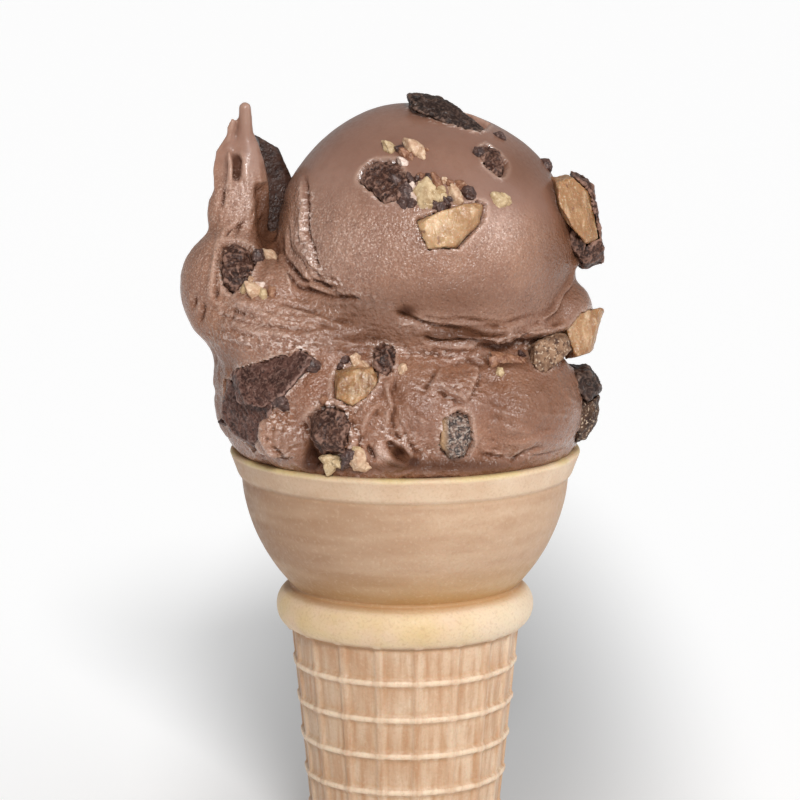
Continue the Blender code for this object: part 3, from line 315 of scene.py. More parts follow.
BACK_DRAGS = [
    ([(20, 50), (21, 40), (16, 31)], 1, 0.3, 4),
    ([(-28, 20), (-10, 18), (8, 16), (26, 14)], 1.1, 0.35, 5),
    ([(-20, 40), (-8, 34), (6, 33)], 1.1, 0.3, 4),
    ([(-20, 12), (-18, 5), (-20, -2)], 0.9, 0.3, 5),
    ([(28, 14), (30, 6), (26, -2)], 0.9, 0.3, 5),
    ([(31, 58), (31, 48), (36, 38), (36, 28)], 0.9, 0.3, 4),
]
# Torn, pitted bands: places, depth, half width
FRONT_TORN = [
    ([(-20, 50), (-20.4, 43), (-18, 36), (-12, 30.6), (-4, 28)], 0.35, 1.6),
    ([(-38, 22), (-28, 20.6), (-18, 21), (-8, 22)], 0.3, 2),
    ([(0, 24), (12, 22), (24, 21)], 0.35, 1.8),
    ([(-27, -3), (-18, -4.6), (-6, -5), (8, -4.6), (24, -2)], 0.35, 1.4),
    ([(-26, 6), (-24, 2), (-25, -2)], 0.4, 3.4),
    ([(-17.4, 8), (-10.6, 8), (-9.6, 0)], 0.4, 1.4),
    ([(-4, 3), (0, 1), (5, -2)], 0.35, 2.2),
    ([(4, 12), (9, 10), (14, 12)], 0.3, 2.6),
    ([(-36, 27), (-26, 24), (-16, 26), (-10, 29)], 0.16, 3.2),
    ([(-8, 22), (0, 19), (6, 18), (14, 18.4)], 0.24, 1.6),
]
BACK_TORN = [
    ([(20, 50), (21.4, 42), (17, 31)], 0.35, 1.6),
    ([(-28, 22), (-10, 21), (12, 20)], 0.35, 2),
    ([(-26, -1), (-8, -4), (10, -4), (26, -1)], 0.35, 1.4),
]
# Frostier (+) and darker (-) zones of the shown side: across, up, half width, half height, share
# Most darker zones are painted shade in creases, at the seam, near the rim and on the ball's right; a few
# lighter ones are painted highlights
FROST_AND_SHADE_ZONES = [
    (-11, 41, 10, 8, 0.45), (19, 44, 4.5, 5, 0.8), (-15, 52, 8, 6, 0.15), (-40, 35, 5, 8, 0.3),
    (-33, 52, 5, 8, 0.25), (-30, 25, 8, 3, 0.3), (24, 56, 10, 6, -0.5), (33, 38, 6, 12, -0.9),
    (9, 29, 16, 3.6, -0.6), (-10, 28, 8, 3, -0.5), (11, 22.4, 10, 1.8, -1.3), (-12, 22, 9, 2.6, -0.4),
    (31, 10, 7, 9, -0.4), (8, -4, 20, 1.8, -1.4), (-15, -4, 8, 2, -0.9), (-24, 13, 6, 6, 0.1),
    (0, 62, 16, 6, -0.2), (23, 8, 9, 7, -0.5), (23, 56, 7, 6, -0.2), (9, 30, 10, 4, -0.15),
    (1, 7, 10, 7, -0.35), (-11, 23, 9, 3, -0.3), (3, 14, 8, 4, -0.2), (0.3, 27, 1.8, 1.2, -1.4),
    (19.4, 17, 4.4, 1.7, -1.5), (-5, -1.8, 1.8, 1.6, 2.4), (-18.6, -1.8, 1.5, 2.8, -2.2),
    (-1.6, -1.2, 1.6, 1.2, -1.6), (1.8, -3, 1, 0.8, -1.4), (-33, 50, 5, 9, 0.55), (-21, 39, 3, 5, 0.35),
    (-25.4, 42.2, 1.5, 3.5, 0.9), (-24.4, 1.2, 4, 4, -0.4),
]
# Deep shade beside the pulled-up tip and down the lower left flank, kept on skin turned away
SHADED = [(-27.4, 45.2, 3.2, 7.6, 1.6), (-37, 9, 4.2, 14, 0.55)]
SHADED_BEHIND = 4
ZONE_PATCH_SIZE = 7
ZONE_PATCHES = 0.9

# Crumbs of the shown side by kind: across, up, radius
PALE, CREAM, TAN, DARK, BROWN = "pale", "cream", "tan", "dark", "brown"
CRUMBS = {
    PALE: [
        (2.3, 59.4, 1.9), (3.2, 58.4, 1.1), (8.1, 53.2, 1), (10, 50.4, 1.7), (9.2, 51.2, 0.9),
        (-27.4, 37.8, 1.7), (-30, 31.2, 1.7), (-9.4, 16.2, 1.2), (-8, 15.8, 1.1), (-10, 17, 0.9),
        (-0.4, 15.3, 1.3), (-9.2, -2.6, 1.7), (-8.8, -4, 1.4), (-30.8, 33.4, 0.7), (18, 17.4, 0.7),
    ],
    CREAM: [
        (-0.2, 56.8, 1), (1.3, 51.6, 1), (1.8, 49.9, 1.3), (3.9, 52.3, 0.9), (-0.4, 53.6, 0.45),
        (0.2, 49.6, 0.5), (-0.9, 50.6, 0.4), (0.6, 51.9, 0.45), (1, 48.2, 0.4), (-1.5, 52, 0.4),
        (4.4, 47.9, 0.6), (-30.2, 37.1, 0.7), (-29, 32.4, 0.8), (-13, -1.4, 0.7), (9.8, 52.4, 0.5),
    ],
    TAN: [
        (-2.8, 59.6, 1.3), (4, 50.6, 2.3), (6.2, 50, 2.1), (3.2, 51.7, 1.1), (3.4, 48.6, 1.2),
        (7.2, 51.2, 1), (5.2, 48.4, 1), (18.8, 49.2, 1.7), (20.4, 49.5, 1.2), (7.6, 49.2, 0.9),
        (-32.2, 31.4, 1.2), (-28.4, 30.4, 0.9), (-14.6, -2.8, 1.6), (-14.9, -4, 1.5), (-13.2, -3.6, 1.1),
        (-9.6, -1.2, 0.9), (19, 14.8, 1), (-17.4, 0.6, 0.9),
    ],
    DARK: [
        (-1.3, 52.7, 1.5), (0, 50.7, 1.6), (-0.3, 48.7, 1.3), (1, 53.4, 1.1), (0.8, 48.7, 1.1),
        (12.5, 50.7, 1.5), (13.2, 49.9, 0.9), (6.4, 48.2, 1.2), (8.3, 48.9, 1.1), (7.3, 47.5, 0.9),
        (2.6, 53.6, 0.9), (4.8, 53.4, 0.9), (9, 49.6, 0.8), (5.1, 52.4, 0.9), (-0.6, 59.4, 1),
        (14.8, 58.7, 1.1), (28.2, 56.2, 1.5), (-19.2, 16.2, 1.7), (-24.6, 8.6, 1.7), (-26, 8.9, 1.3),
        (34.2, 16, 1), (-36.2, 4.8, 0.8), (-29.4, 37.8, 1.1), (-11.6, -1.6, 1.5), (-11.8, -3.6, 1.4),
        (-22.6, 59.4, 0.9), (19, 62, 1.1), (23.2, 18.4, 0.9), (-11.8, 17, 1), (-13.2, 15.8, 0.6),
    ],
    BROWN: [
        (0.1, 58.5, 1.1), (1, 57.9, 0.8), (4.4, 59.4, 0.7), (6.1, 53, 1.5), (10.8, 52.2, 1.2),
        (8.9, 52.6, 0.9), (19.6, 17, 1.7), (21.6, 17, 1.6), (23.6, 16.8, 1.2), (17.8, 16.4, 1),
        (-33.2, 34.2, 1), (-26.6, 30.8, 1), (-13.6, 0.2, 1.2), (-16.2, 9.4, 1), (3.4, 54.1, 0.7),
    ],
}
# Crumbs of the back by kind: across, up
BACK_CRUMBS = {
    PALE: [(-14, 50), (-2, 55), (17, 48), (25, 28), (-2, 16), (14, 15), (-22, 6), (31, 12)],
    TAN: [(-12.6, 49), (-0.6, 16.4), (26, 27), (8, 2)],
    DARK: [(-11, 46), (15, 38), (-11, 12), (19, 3)],
}
BACK_CRUMB_RADIUS = 1.3
CHIP_SHAPES = 6
CRUMB_SCALE = 1.45
CRUMB_SUNK = -0.15
CRUMB_LEAST = (0.75, 0.65, 0.5)
CRUMB_MOST = (1.35, 1.0, 0.85)
CRUMB_HOLLOW = 0.4
CHIP_NEAREST = 0.65
CHIP_FARTHEST = 1.3
# Slot of each kind of crumb, and its darker, paler and spot colours
CRUMB_KINDS = {
    PALE: ("biscuit", ((186, 146, 116), (216, 184, 152), (236, 216, 192))),
    CREAM: ("biscuit", ((206, 178, 162), (232, 210, 196), (246, 232, 220))),
    TAN: ("biscuit", ((174, 144, 106), (208, 182, 142), (226, 206, 174))),
    DARK: ("chocolate", ((54, 34, 30), (86, 60, 52), (150, 124, 114))),
    BROWN: ("toffee", ((120, 76, 56), (158, 112, 84), (196, 158, 130))),
}

# Broken pieces that share a finish, by their CAD nodes
CHIPS = ["top_right_chip", "front_chocolate", "right_chocolate", "middle_chip", "rim_chocolate"]
CHIPS += ["lobe_chocolate", "back_left_chip", "back_low_chocolate"]
DARK_PIECES = ["top_chocolate_shard", "side_chocolate", "back_top_chocolate"]
TOFFEE_PIECES = ["front_toffee", "back_toffee", "back_lobe_toffee"]
# Toffee pieces with a darker copy of the toffee finish, as painted shade
SHADED_TOFFEE_PIECES = ["right_toffee", "seam_toffee", "middle_toffee", "back_low_toffee"]
BLOOMED_PIECES = ["big_chocolate", "back_seam_chocolate"]
# Colours of the finishes, with the share of bloom on chocolate; each chocolate's fourth colour is a painted
# highlight along its crests
DARK_COLOURS = ((32, 22, 18), (54, 37, 31), (98, 78, 68), (122, 98, 86), 0.4)
# The slab in the cleft beside the pulled-up tip is darkened to stand in for the shade there: painted shade
SHADED_SLAB_COLOURS = ((46, 28, 22), (72, 48, 39), (94, 74, 65), (106, 84, 75), 0.12)
FROSTED_COLOURS = ((44, 26, 20), (76, 49, 39), (126, 92, 77), (156, 120, 104), 0.5)
BLOOMED_COLOURS = ((58, 35, 29), (95, 64, 55), (137, 105, 93), (168, 134, 121), 0.4)
BISCUIT_COLOURS = ((108, 79, 60), (156, 122, 96))
# Each finish: its maker, its colours, the slot, how rugged the pieces are, the pieces
PIECE_KINDS = {
    "dark_chocolate": ("chocolate", DARK_COLOURS, "chocolate", 0.9, DARK_PIECES),
    "smooth_chocolate": ("chocolate", SHADED_SLAB_COLOURS, "chocolate", 0.3, ["ear_chocolate_slab"]),
    "frosted_chocolate": ("chocolate", FROSTED_COLOURS, "chocolate", 1.0, CHIPS),
    "bloomed_chocolate": ("chocolate", BLOOMED_COLOURS, "chocolate", 0.7, BLOOMED_PIECES),
    "toffee": ("toffee", ((176, 136, 94), (210, 174, 132)), "toffee", 0.5, TOFFEE_PIECES),
    "browned_toffee": ("toffee", ((130, 90, 56), (172, 128, 84)), "toffee", 0.6, SHADED_TOFFEE_PIECES),
    "speckled_biscuit": ("biscuit", BISCUIT_COLOURS, "biscuit", 0.9, ["seam_biscuit", "back_rim_biscuit"]),
    # The side biscuit: a dark biscuit, darkened further as painted shade
    "dark_biscuit": ("biscuit", ((46, 31, 24), (86, 62, 46)), "biscuit", 0.9, ["side_biscuit"]),
    "frosty_biscuit": ("frosty", ((50, 37, 32), (124, 98, 84)), "biscuit", 0.8, ["frosty_chocolate"]),
}
PIECE_VOXEL = 0.26
NODE_WELD = 0.005 * MM
BROKEN_SWELL_SIZE = 3.0
BROKEN_SWELL = 0.4
# Ridged unevenness of a broken face: size, shift of the noise, crest, height
BROKEN_RIDGES = [(1.7, 4.0, 0.35, 0.6), (0.8, 9.0, 0.3, 0.4)]
FROSTY_TAN_FROM, FROSTY_TAN_TO = 8.4, 7.2
# Painted shade on toffee towards the right: across in millimetres where it begins and is full
TOFFEE_SHADE_FROM, TOFFEE_SHADE_TO = 6.0, 12.0


def linear(red, green, blue):
    """Linear colour of a colour given in display steps of 0 to 255."""
    steps = [c / 255 for c in (red, green, blue)]
    return tuple(c / 12.92 if c <= 0.04045 else ((c + 0.055) / 1.055) ** 2.4 for c in steps)


# Meshes


def linked(name, data):
    """A new object in the scene with this mesh, light or camera."""
    made = bpy.data.objects.new(name, data)
    bpy.context.scene.collection.objects.link(made)
    return made


def object_from_mesh(name, mesh, material=None):
    made = linked(name, mesh)
    if material:
        mesh.materials.clear()
        mesh.materials.append(material)
    return made


def evaluated_mesh(source):
    """Plain mesh of an object with its modifiers applied, which is then removed."""
    bpy.context.view_layer.update()
    graph = bpy.context.evaluated_depsgraph_get()
    mesh = bpy.data.meshes.new_from_object(source.evaluated_get(graph))
    bpy.data.objects.remove(source)
    return mesh


def bmesh_of(*meshes):
    """One editable mesh of one or more, kept as separate shells."""
    bm = bmesh.new()
    for mesh in meshes:
        bm.from_mesh(mesh)
    return bm


def mesh_from_bmesh(name, bm):
    mesh = bpy.data.meshes.new(name)
    bm.to_mesh(mesh)
    bm.free()
    return mesh


def remeshed(mesh, voxel, iterations):
    rough = object_from_mesh("rough", mesh)
    remesh = rough.modifiers.new("fuse", "REMESH")
    remesh.mode = "VOXEL"
    remesh.voxel_size = voxel
    if iterations:
        soften = rough.modifiers.new("soften", "SMOOTH")
        soften.factor = 0.5
        soften.iterations = iterations
    return evaluated_mesh(rough)


def vertex_arrays(mesh):
    count = len(mesh.vertices)
    places = np.empty(count * 3)
    normals = np.empty(count * 3)
    mesh.vertices.foreach_get("co", places)
    mesh.vertex_normals.foreach_get("vector", normals)
    return places.reshape(-1, 3), normals.reshape(-1, 3)


def moved(mesh, places):
    mesh.vertices.foreach_set("co", places.ravel())
    mesh.update()


def noise_at(places, size, shift=0.0):
    """Smooth noise of about -1 to 1 at every place."""
    at = noise.noise
    return np.array([at(Vector(p)) for p in places / size + shift])


def relaxed(mesh, places, rounds):
    """Places after each point has moved to the middle of its neighbours this many times."""
    ends = np.empty(len(mesh.edges) * 2, dtype=np.int64)
    mesh.edges.foreach_get("vertices", ends)
    a, b = ends.reshape(-1, 2).T
    count = len(places)
    near = np.bincount(a, minlength=count) + np.bincount(b, minlength=count)
    near = np.maximum(near, 1)[:, None]
    for _ in range(rounds):
        total = np.empty_like(places)
        for k in range(3):
            total[:, k] = np.bincount(a, places[b, k], count) + np.bincount(b, places[a, k], count)
        places = places * 0.3 + total / near * 0.7
    return places


def stored(mesh, name, values):
    """Keeps one number for each point, for the finish to read."""
    layer = mesh.attributes.new(name, "FLOAT", "POINT")
    layer.data.foreach_set("value", np.asarray(values, dtype=np.float32))


def hollowness(mesh, rounds, depth):
    """Keeps how far each point lies under (1) or over (0) the softened surface."""
    places, normals = vertex_arrays(mesh)
    under = ((relaxed(mesh, places, rounds) - places) * normals).sum(1)
    stored(mesh, "hollow", np.clip(0.5 + under / depth * 0.5, 0, 1))


def finished(name, mesh, material, nodes):
    """A piece in metres that stands for CAD nodes and moves with the cup."""
    mesh.transform(Matrix.Scale(MM, 4))
    mesh.polygons.foreach_set("use_smooth", [True] * len(mesh.polygons))
    mesh.update()
    piece = object_from_mesh(name, mesh, material)
    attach(piece, "root")
    if nodes:
        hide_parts(*nodes)
    return piece


# Views onto the scoops


def view_axes(side):
    """Across, up and inward directions of the view onto one side, and where it is seen from."""
    across = Vector((-side, 0, 0))
    up = Vector((0, -side * math.sin(VIEW_TILT), math.cos(VIEW_TILT)))
    inward = Vector((0, -side * math.cos(VIEW_TILT), -math.sin(VIEW_TILT)))
    return across, up, inward, VIEW_AIM - inward * VIEW_DISTANCE


def seen_on(tree, across, up, side):
    """Point and normal of the skin where it is seen at (across, up)."""
    right, high, _, eye = view_axes(side)
    aim = VIEW_ZERO + right * across + high * up
    point, normal, _, _ = tree.ray_cast(eye, (aim - eye).normalized())
    return point, normal


def seen_from(places, side):
    """Across and up of many points, as arrays."""
    right, high, inward, eye = (np.array(v) for v in view_axes(side))
    away = places - eye
    start = np.array(VIEW_ZERO) - eye
    shrink = (start @ inward) / (away @ inward)
    return (away @ right) * shrink - start @ right, (away @ high) * shrink - start @ high


def facing_view(normals, side, sharpness=4.0, spare=0.0):
    """1 where the skin faces the view onto one side, 0 where it is turned away."""
    inward = np.array(view_axes(side)[2])
    return np.clip(-(normals @ inward) * sharpness + spare, 0, 1)


def bell(away, half, power=2):
    """1 in the middle of a line or zone, falling off at its half width."""
    return np.exp(-((away / half) ** power))


def skin_tree(mesh):
    mesh.calc_loop_triangles()
    places = [v.co.copy() for v in mesh.vertices]
    return BVHTree.FromPolygons(places, [tuple(t.vertices) for t in mesh.loop_triangles])


# Custard


def lump(bm, centre, radii, tilt=(0, 0, 0), detail=4):
    turn = Euler([math.radians(a) for a in tilt]).to_matrix().to_4x4()
    shape = Matrix.Diagonal((*radii, 1.0))
    place = Matrix.Translation(Vector(centre))
    bmesh.ops.create_icosphere(bm, subdivisions=detail, radius=1.0, matrix=place @ turn @ shape)


def strand(bm, points, radii, flat=0.7):
    for a, b, ra, rb in zip(points, points[1:], radii, radii[1:]):
        a, b = Vector(a), Vector(b)
        steps = max(1, int((b - a).length / (min(ra, rb) * 0.25 + 0.2)))
        for i in range(steps + 1):
            t = i / steps
            r = ra + (rb - ra) * t
            lump(bm, a.lerp(b, t), (r, r * flat, r), detail=2)


def coarse_skin():
    """The lumps run into one soft body, softest where the scoops merge on the left."""
    bm = bmesh.new()
    for form in LUMPS.values():
        lump(bm, *form)
    strand(bm, EAR_SPINE, EAR_RADII)
    strand(bm, EAR_FLAP, EAR_FLAP_RADII, flat=1.2)
    strand(bm, LOWER_FLAP, LOWER_FLAP_RADII, flat=1.4)
    fused = remeshed(mesh_from_bmesh("lumps", bm), COARSE_VOXEL, SMOOTHING)
    places, normals = vertex_arrays(fused)
    x, y = seen_from(places, FRONT)
    middle, reach = MERGED_BAND
    weights = np.clip((MERGED_TO - x) / MERGED_BLEND, 0, 1) * bell(y - middle, reach)
    weights *= np.clip(-normals[:, 1] * 3 + 1, 0, 1)
    rough = object_from_mesh("merging", fused)
    merged = rough.vertex_groups.new(name="merged")
    for index in np.nonzero(weights > 0.02)[0]:
        merged.add([int(index)], float(weights[index]), "REPLACE")
    merge = rough.modifiers.new("merge", "SMOOTH")
    merge.factor = 0.5
    merge.iterations = MERGE_SMOOTHING
    merge.vertex_group = "merged"
    return evaluated_mesh(rough)


def beside_line(x, y, line):
    """Signed distance of places from a line of (across, up), how far along it they are, and its length."""
    nearest = np.full(len(x), np.inf)
    signed = np.zeros(len(x))
    along = np.zeros(len(x))
    lengths = [math.dist(a, b) for a, b in zip(line, line[1:])]
    whole = sum(lengths)
    before = 0.0
    for (ax, ay), (bx, by), length in zip(line, line[1:], lengths):
        dx, dy = bx - ax, by - ay
        t = np.clip(((x - ax) * dx + (y - ay) * dy) / (dx * dx + dy * dy), 0, 1)
        gap = np.hypot(x - ax - t * dx, y - ay - t * dy)
        closer = gap < nearest
        nearest = np.where(closer, gap, nearest)
        side = np.sign(dx * (y - ay) - dy * (x - ax))
        signed = np.where(closer, gap * side, signed)
        run = before + t * length
        along = np.where(closer, run, along)
        before += length
    return signed, along, whole


def ends_faded(along, whole, reach):
    """1 along a line, falling to 0 over this reach at both of its ends."""
    return np.clip(np.minimum(along, whole - along) / reach, 0, 1)


def lined(places, normals, lines, folds, drags, side):
    """Sinks creases, raises ridges and folds and draws drag marks in the side that faces the view."""
    x, y = seen_from(places, side)
    facing = facing_view(normals, side)
    push = np.zeros(len(places))
    wander = noise_at(places, WANDER_SIZE)
    patchy = noise_at(places, PATCH_SIZE, 31.0)
    for line, rise, half in lines:
        stray = wander * LINE_WANDER
        signed, along, whole = beside_line(x + stray, y - stray, line)
        fade = ends_faded(along, whole, LINE_FADE) * (1 + patchy * LINE_PATCHES)
        push += rise * bell(signed, half) * fade
    for line, rise, step, reach in folds:
        stray = wander * FOLD_WANDER
        signed, along, whole = beside_line(x + stray, y - stray, line)
        fade = ends_faded(along, whole, FOLD_FADE) * (1 + patchy * FOLD_PATCHES)
        over = 0.5 + 0.5 * np.tanh(signed / step)
        lip = over * np.exp(-np.maximum(signed, 0) / reach)
        foot = (1 - over) * np.exp(np.minimum(signed, 0) / (step * 4))
        push += rise * (lip - foot * FOLD_FOOT) * fade
    for line, spacing, depth, half in drags:
        signed, along, whole = beside_line(x, y, line)
        fade = bell(signed, half) * ends_faded(along, whole, DRAG_FADE)
        seen = np.nonzero((fade * facing) > 0.03)[0]
        flat = np.zeros((len(seen), 3))
        flat[:, 0] = signed[seen] / spacing + wander[seen] * DRAG_WANDER
        flat[:, 1] = along[seen] / spacing / STREAK_STRETCH
        flat[:, 2] = whole
        push[seen] += depth * fade[seen] * noise_at(flat, 1.0) * 2
    return push * facing


def lapped(places, normals, trees):
    """Where custard laps up round the broken pieces, and how far it sinks to bare their faces."""
    lap = np.zeros(len(places))
    sink = np.zeros(len(places))
    for low, high, tree in trees:
        close = np.nonzero(((places > low - BARE_REACH) & (places < high + BARE_REACH)).all(1))[0]
        for index in close:
            place = Vector(places[index])
            inward = -Vector(normals[index])
            _, _, _, depth = tree.ray_cast(place, inward, BARE_REACH)
            if depth is not None:
                sink[index] = max(sink[index], depth + BARE_CLEARANCE)
                continue
            near, normal, _, gap = tree.find_nearest(place)
            if (place - near).dot(normal) > 0:
                lap[index] = max(lap[index], math.exp(-((gap / LAP_REACH) ** 2)))
    return lap * (sink == 0), sink


def fine_skin(coarse, trees):
    """Fine surface of both scoops, with every fold, drag mark and lap."""
    bm = bmesh_of(coarse)
    for points, radii in CRISP_STRANDS:
        strand(bm, points, radii, flat=0.9)
    mesh = remeshed(mesh_from_bmesh("forms", bm), FINE_VOXEL, 3)
    places, normals = vertex_arrays(mesh)
    push = lined(places, normals, FRONT_LINES, FRONT_FOLDS, FRONT_DRAGS, FRONT)
    push += lined(places, normals, BACK_LINES, BACK_FOLDS, BACK_DRAGS, BACK)
    granular = 1 - smooth_top(places)
    low = np.clip((LOW_FROM - places[:, 2]) / LOW_BLEND, 0, 1)
    for size, shift, height, more_low, spared in UNEVENNESS:
        push += noise_at(places, size, shift) * (height + more_low * low) * (1 - spared + spared * granular)
    torn_share = torn(places, normals, FRONT_TORN, FRONT) + torn(places, normals, BACK_TORN, BACK)
    rough = noise_at(places, TORN_SIZE, 5.0) * TORN_ROUGH - TORN_SUNK
    push += rough * (FINE_GRAIN * granular + torn_share)
    places += normals * push[:, None]
    lap, sink = lapped(places, normals, trees)
    lip = LAP_LIP + LAP_UNEVEN * noise_at(places, LAP_SIZE, 11.0)
    places += normals * (lap * LAP_RISE * lip - sink)[:, None]
    places = tucked(places)
    moved(mesh, places)
    hollowness(mesh, *CUSTARD_HOLLOW)
    stored(mesh, "smooth_top", smooth_top(places))
    stored(mesh, "zone", zoned(places, normals))
    stored(mesh, "wet", np.clip(lap + torn_share * 2, 0, 1))
    return mesh


def torn(places, normals, bands, side):
    """Depth of the torn bands at every place."""
    x, y = seen_from(places, side)
    depth = np.zeros(len(places))
    for line, deep, half in bands:
        signed, _, _ = beside_line(x, y, line)
        depth = np.maximum(depth, deep * bell(signed, half))
    return depth * facing_view(normals, side)


def zoned(places, normals):
    """Frostier (over 0) and darker (under 0) zones, by plan on the shown side and patchy elsewhere; the
    planned ones hold painted shade and highlights.
    """
    x, y = seen_from(places, FRONT)
    facing = facing_view(normals, FRONT, 3.0, 0.4)
    planned = np.zeros(len(places))
    for across, up, wide, high, share in FROST_AND_SHADE_ZONES:
        planned += share * bell(x - across, wide) * bell(y - up, high)
    planned = planned * facing + noise_at(places, ZONE_PATCH_SIZE, 13.0) * ZONE_PATCHES * (1 - facing)
    ahead = places[:, 1] < SHADED_BEHIND
    for across, up, wide, high, share in SHADED:
        planned -= share * bell(x - across, wide, 4) * bell(y - up, high, 4) * ahead
    return planned


def smooth_top(places):
    """1 on the smooth crown of the upper scoop, 0 on the granular rest."""
    height = places[:, 2] + places[:, 0] * CROWN_LEAN + noise_at(places, 9.0, 21.0) * CROWN_WAVER
    return np.clip((height - CROWN_FROM) / CROWN_BLEND, 0, 1)


def tucked(places):
    """Rounds the lowest custard in to the mouth of the cup, less so at its front."""
    radius = np.hypot(places[:, 0], places[:, 1])
    depth = np.clip((TUCK_FROM - places[:, 2]) / TUCK_HEIGHT, 0, 1)
    ahead = np.clip((-places[:, 1] / radius - TUCK_AHEAD) * 8, 0, 1)
    limit = TUCK_RADIUS - (TUCK_IN - TUCK_LESS_AHEAD * ahead) * depth**2
    limit += noise_at(places, 3.5, 2.0) * TUCK_WAVER * depth
    shrink = np.where((radius > limit) & (depth > 0), limit / np.maximum(radius, 0.001), 1.0)
    places[:, :2] *= shrink[:, None]
    return places


def seam_height(x, y):
    """Height at which the upper scoop rests on the lower one."""
    front, back = (np.interp(x, *zip(*seam)) for seam in (FRONT_SEAM, BACK_SEAM))
    share = 0.5 + 0.5 * np.tanh(y / SEAM_TURN)
    seen = front * (1 - share) + back * share
    return CUP_HEIGHT + (seen + math.sin(VIEW_TILT) * np.hypot(y, 3)) / math.cos(VIEW_TILT)


def sheared(mesh, sign):
    """Flattens the seam for a cut, or bends it back."""
    places, _ = vertex_arrays(mesh)
    places[:, 2] += sign * seam_height(places[:, 0], places[:, 1])
    moved(mesh, places)


def cut_flat(mesh, height, keep_above):
    """One side of a flat cut, closed over the cut."""
    bm = bmesh_of(mesh)
    outward = (0, 0, -1 if keep_above else 1)
    geom = bm.verts[:] + bm.edges[:] + bm.faces[:]
    cut = bmesh.ops.bisect_plane(
        bm, geom=geom, plane_co=(0, 0, height), plane_no=outward, clear_outer=True
    )
    edges = [e for e in cut["geom_cut"] if isinstance(e, bmesh.types.BMEdge)]
    cap = bmesh.ops.triangle_fill(bm, edges=edges, normal=outward)
    for face in (g for g in cap["geom"] if isinstance(g, bmesh.types.BMFace)):
        for edge in face.edges:
            edge.smooth = False
    bmesh.ops.recalc_face_normals(bm, faces=bm.faces[:])
    keep_largest(bm)
    bm.to_mesh(mesh)
    bm.free()


def keep_largest(bm):
    """Removes every island but the largest."""
    left = set(bm.verts)
    islands = []
    while left:
        island, front = set(), [left.pop()]
        while front:
            v = front.pop()
            island.add(v)
            fresh = [e.other_vert(v) for e in v.link_edges if e.other_vert(v) in left]
            left.difference_update(fresh)
            front.extend(fresh)
        islands.append(island)
    islands.sort(key=len)
    for island in islands[:-1]:
        bmesh.ops.delete(bm, geom=list(island), context="VERTS")


def plug_mesh():
    """Custard inside the cup, under the scoops."""
    bm = bmesh.new()
    outline = cavity_outline(PLUG_GAP)
    outline += [(RIM_RADIUS - WALL - PLUG_GAP, CUP_HEIGHT - 0.4), (0.0, CUP_HEIGHT - 0.4)]
    verts = [bm.verts.new((r, 0, z)) for r, z in outline]
    edges = [bm.edges.new(pair) for pair in zip(verts, verts[1:])]
    bmesh.ops.spin(
        bm, geom=verts + edges, cent=(0, 0, 0), axis=(0, 0, 1), angle=math.tau, steps=64, use_merge=True
    )
    bmesh.ops.remove_doubles(bm, verts=bm.verts[:], dist=0.001)
    bmesh.ops.recalc_face_normals(bm, faces=bm.faces[:])
    return mesh_from_bmesh("plug", bm)


def make_scoops(skin, material):
    """Parts the skin along the seam into the upper and the lower scoop."""
    scoops = []
    for keep_above in (True, False):
        scoop = skin.copy()
        sheared(scoop, -1)
        cut_flat(scoop, 0.0, keep_above)
        sheared(scoop, 1)
        scoops.append(scoop)
    upper, lower = scoops
    cut_flat(lower, CUSTARD_FOOT, True)
    filled = mesh_from_bmesh("lower_custard", bmesh_of(lower, plug_mesh()))
    finished("upper_custard", upper, material, ["upper_scoop"])
    finished("lower_custard", filled, material, ["lower_scoop"])


# Wafer cup


def bowl_radius(z):
    depth = abs((BOWL_CENTRE - z) / BOWL_DEPTH)
    return BOWL_RADIUS * (1 - depth**BOWL_POWER) ** (1 / BOWL_POWER)


def stem_radius(z):
    return STEM_TOP_RADIUS - (STEM_TOP - z) * STEM_TAPER


def cavity_outline(clearance=0.0, steps=3):
    """Inside of the cup, from the centre of its floor up to the mouth."""
    points = [(0.0, FLOOR + clearance)]
    points.append((stem_radius(FLOOR) - WALL - clearance, FLOOR + clearance))
    points.append((stem_radius(STEM_TOP) - WALL - clearance, STEM_TOP))
    points.append((bowl_radius(WAIST) - WALL - clearance, WAIST + 1.0))
    for i in range(1, steps + 1):
        z = WAIST + (BAND_FOOT - WAIST) * i / steps
        points.append((bowl_radius(z) - WALL - clearance, z + 1.0 - i / steps))
    return points


def soft_step(value, low, high):
    t = min(1.0, max(0.0, (value - low) / (high - low)))
    return t * t * (3 - 2 * t)


def ring_share(z):
    """1 on the crown of a ring round the stem, 0 between the rings."""
    away = min(abs(z - RING_RIB_TOP + i * RING_RIB_SPACING) for i in range(RING_RIB_COUNT))
    return soft_step(1.1 - away / (RING_RIB_WIDTH / 2), 0.0, 0.8)


def wall_radius(z):
    """Outer radius of the cup at height z, without its upright ribs."""
    if z > BAND_FOOT - 0.6:
        band = RIM_RADIUS - RIM_BAND_FLARE * (CUP_HEIGHT - RIM_EDGE - z) / RIM_BAND_HEIGHT
        under = bowl_radius(BAND_FOOT) - 0.05
        return under + (band - under) * soft_step(z, *BAND_STEP)
    if z > WAIST:
        return bowl_radius(z)
    if z > STEM_TOP:
        t = max(-1.0, min(1.0, (z - COLLAR_CENTRE) / COLLAR_HALF_HEIGHT))
        return COLLAR_CORE_RADIUS + COLLAR_BULGE * math.sqrt(max(0.0, 1 - t * t))
    radius = stem_radius(z) + RING_RIB_HEIGHT * ring_share(z)
    if z < FOOT_BAND_HEIGHT + 0.5:
        radius += FOOT_BAND_PROUD * 1.4 * soft_step(FOOT_BAND_HEIGHT + 0.5 - z, 0.0, 0.8)
    return radius


def quarter_round(radius, height, edge, start, steps):
    """Points of an edge rounded about (radius, height), a quarter turn clockwise from this angle."""
    turns = [math.radians(start - 90 * i / steps) for i in range(steps + 1)]
    return [(radius + edge * math.cos(t), height + edge * math.sin(t), 0.0) for t in turns]


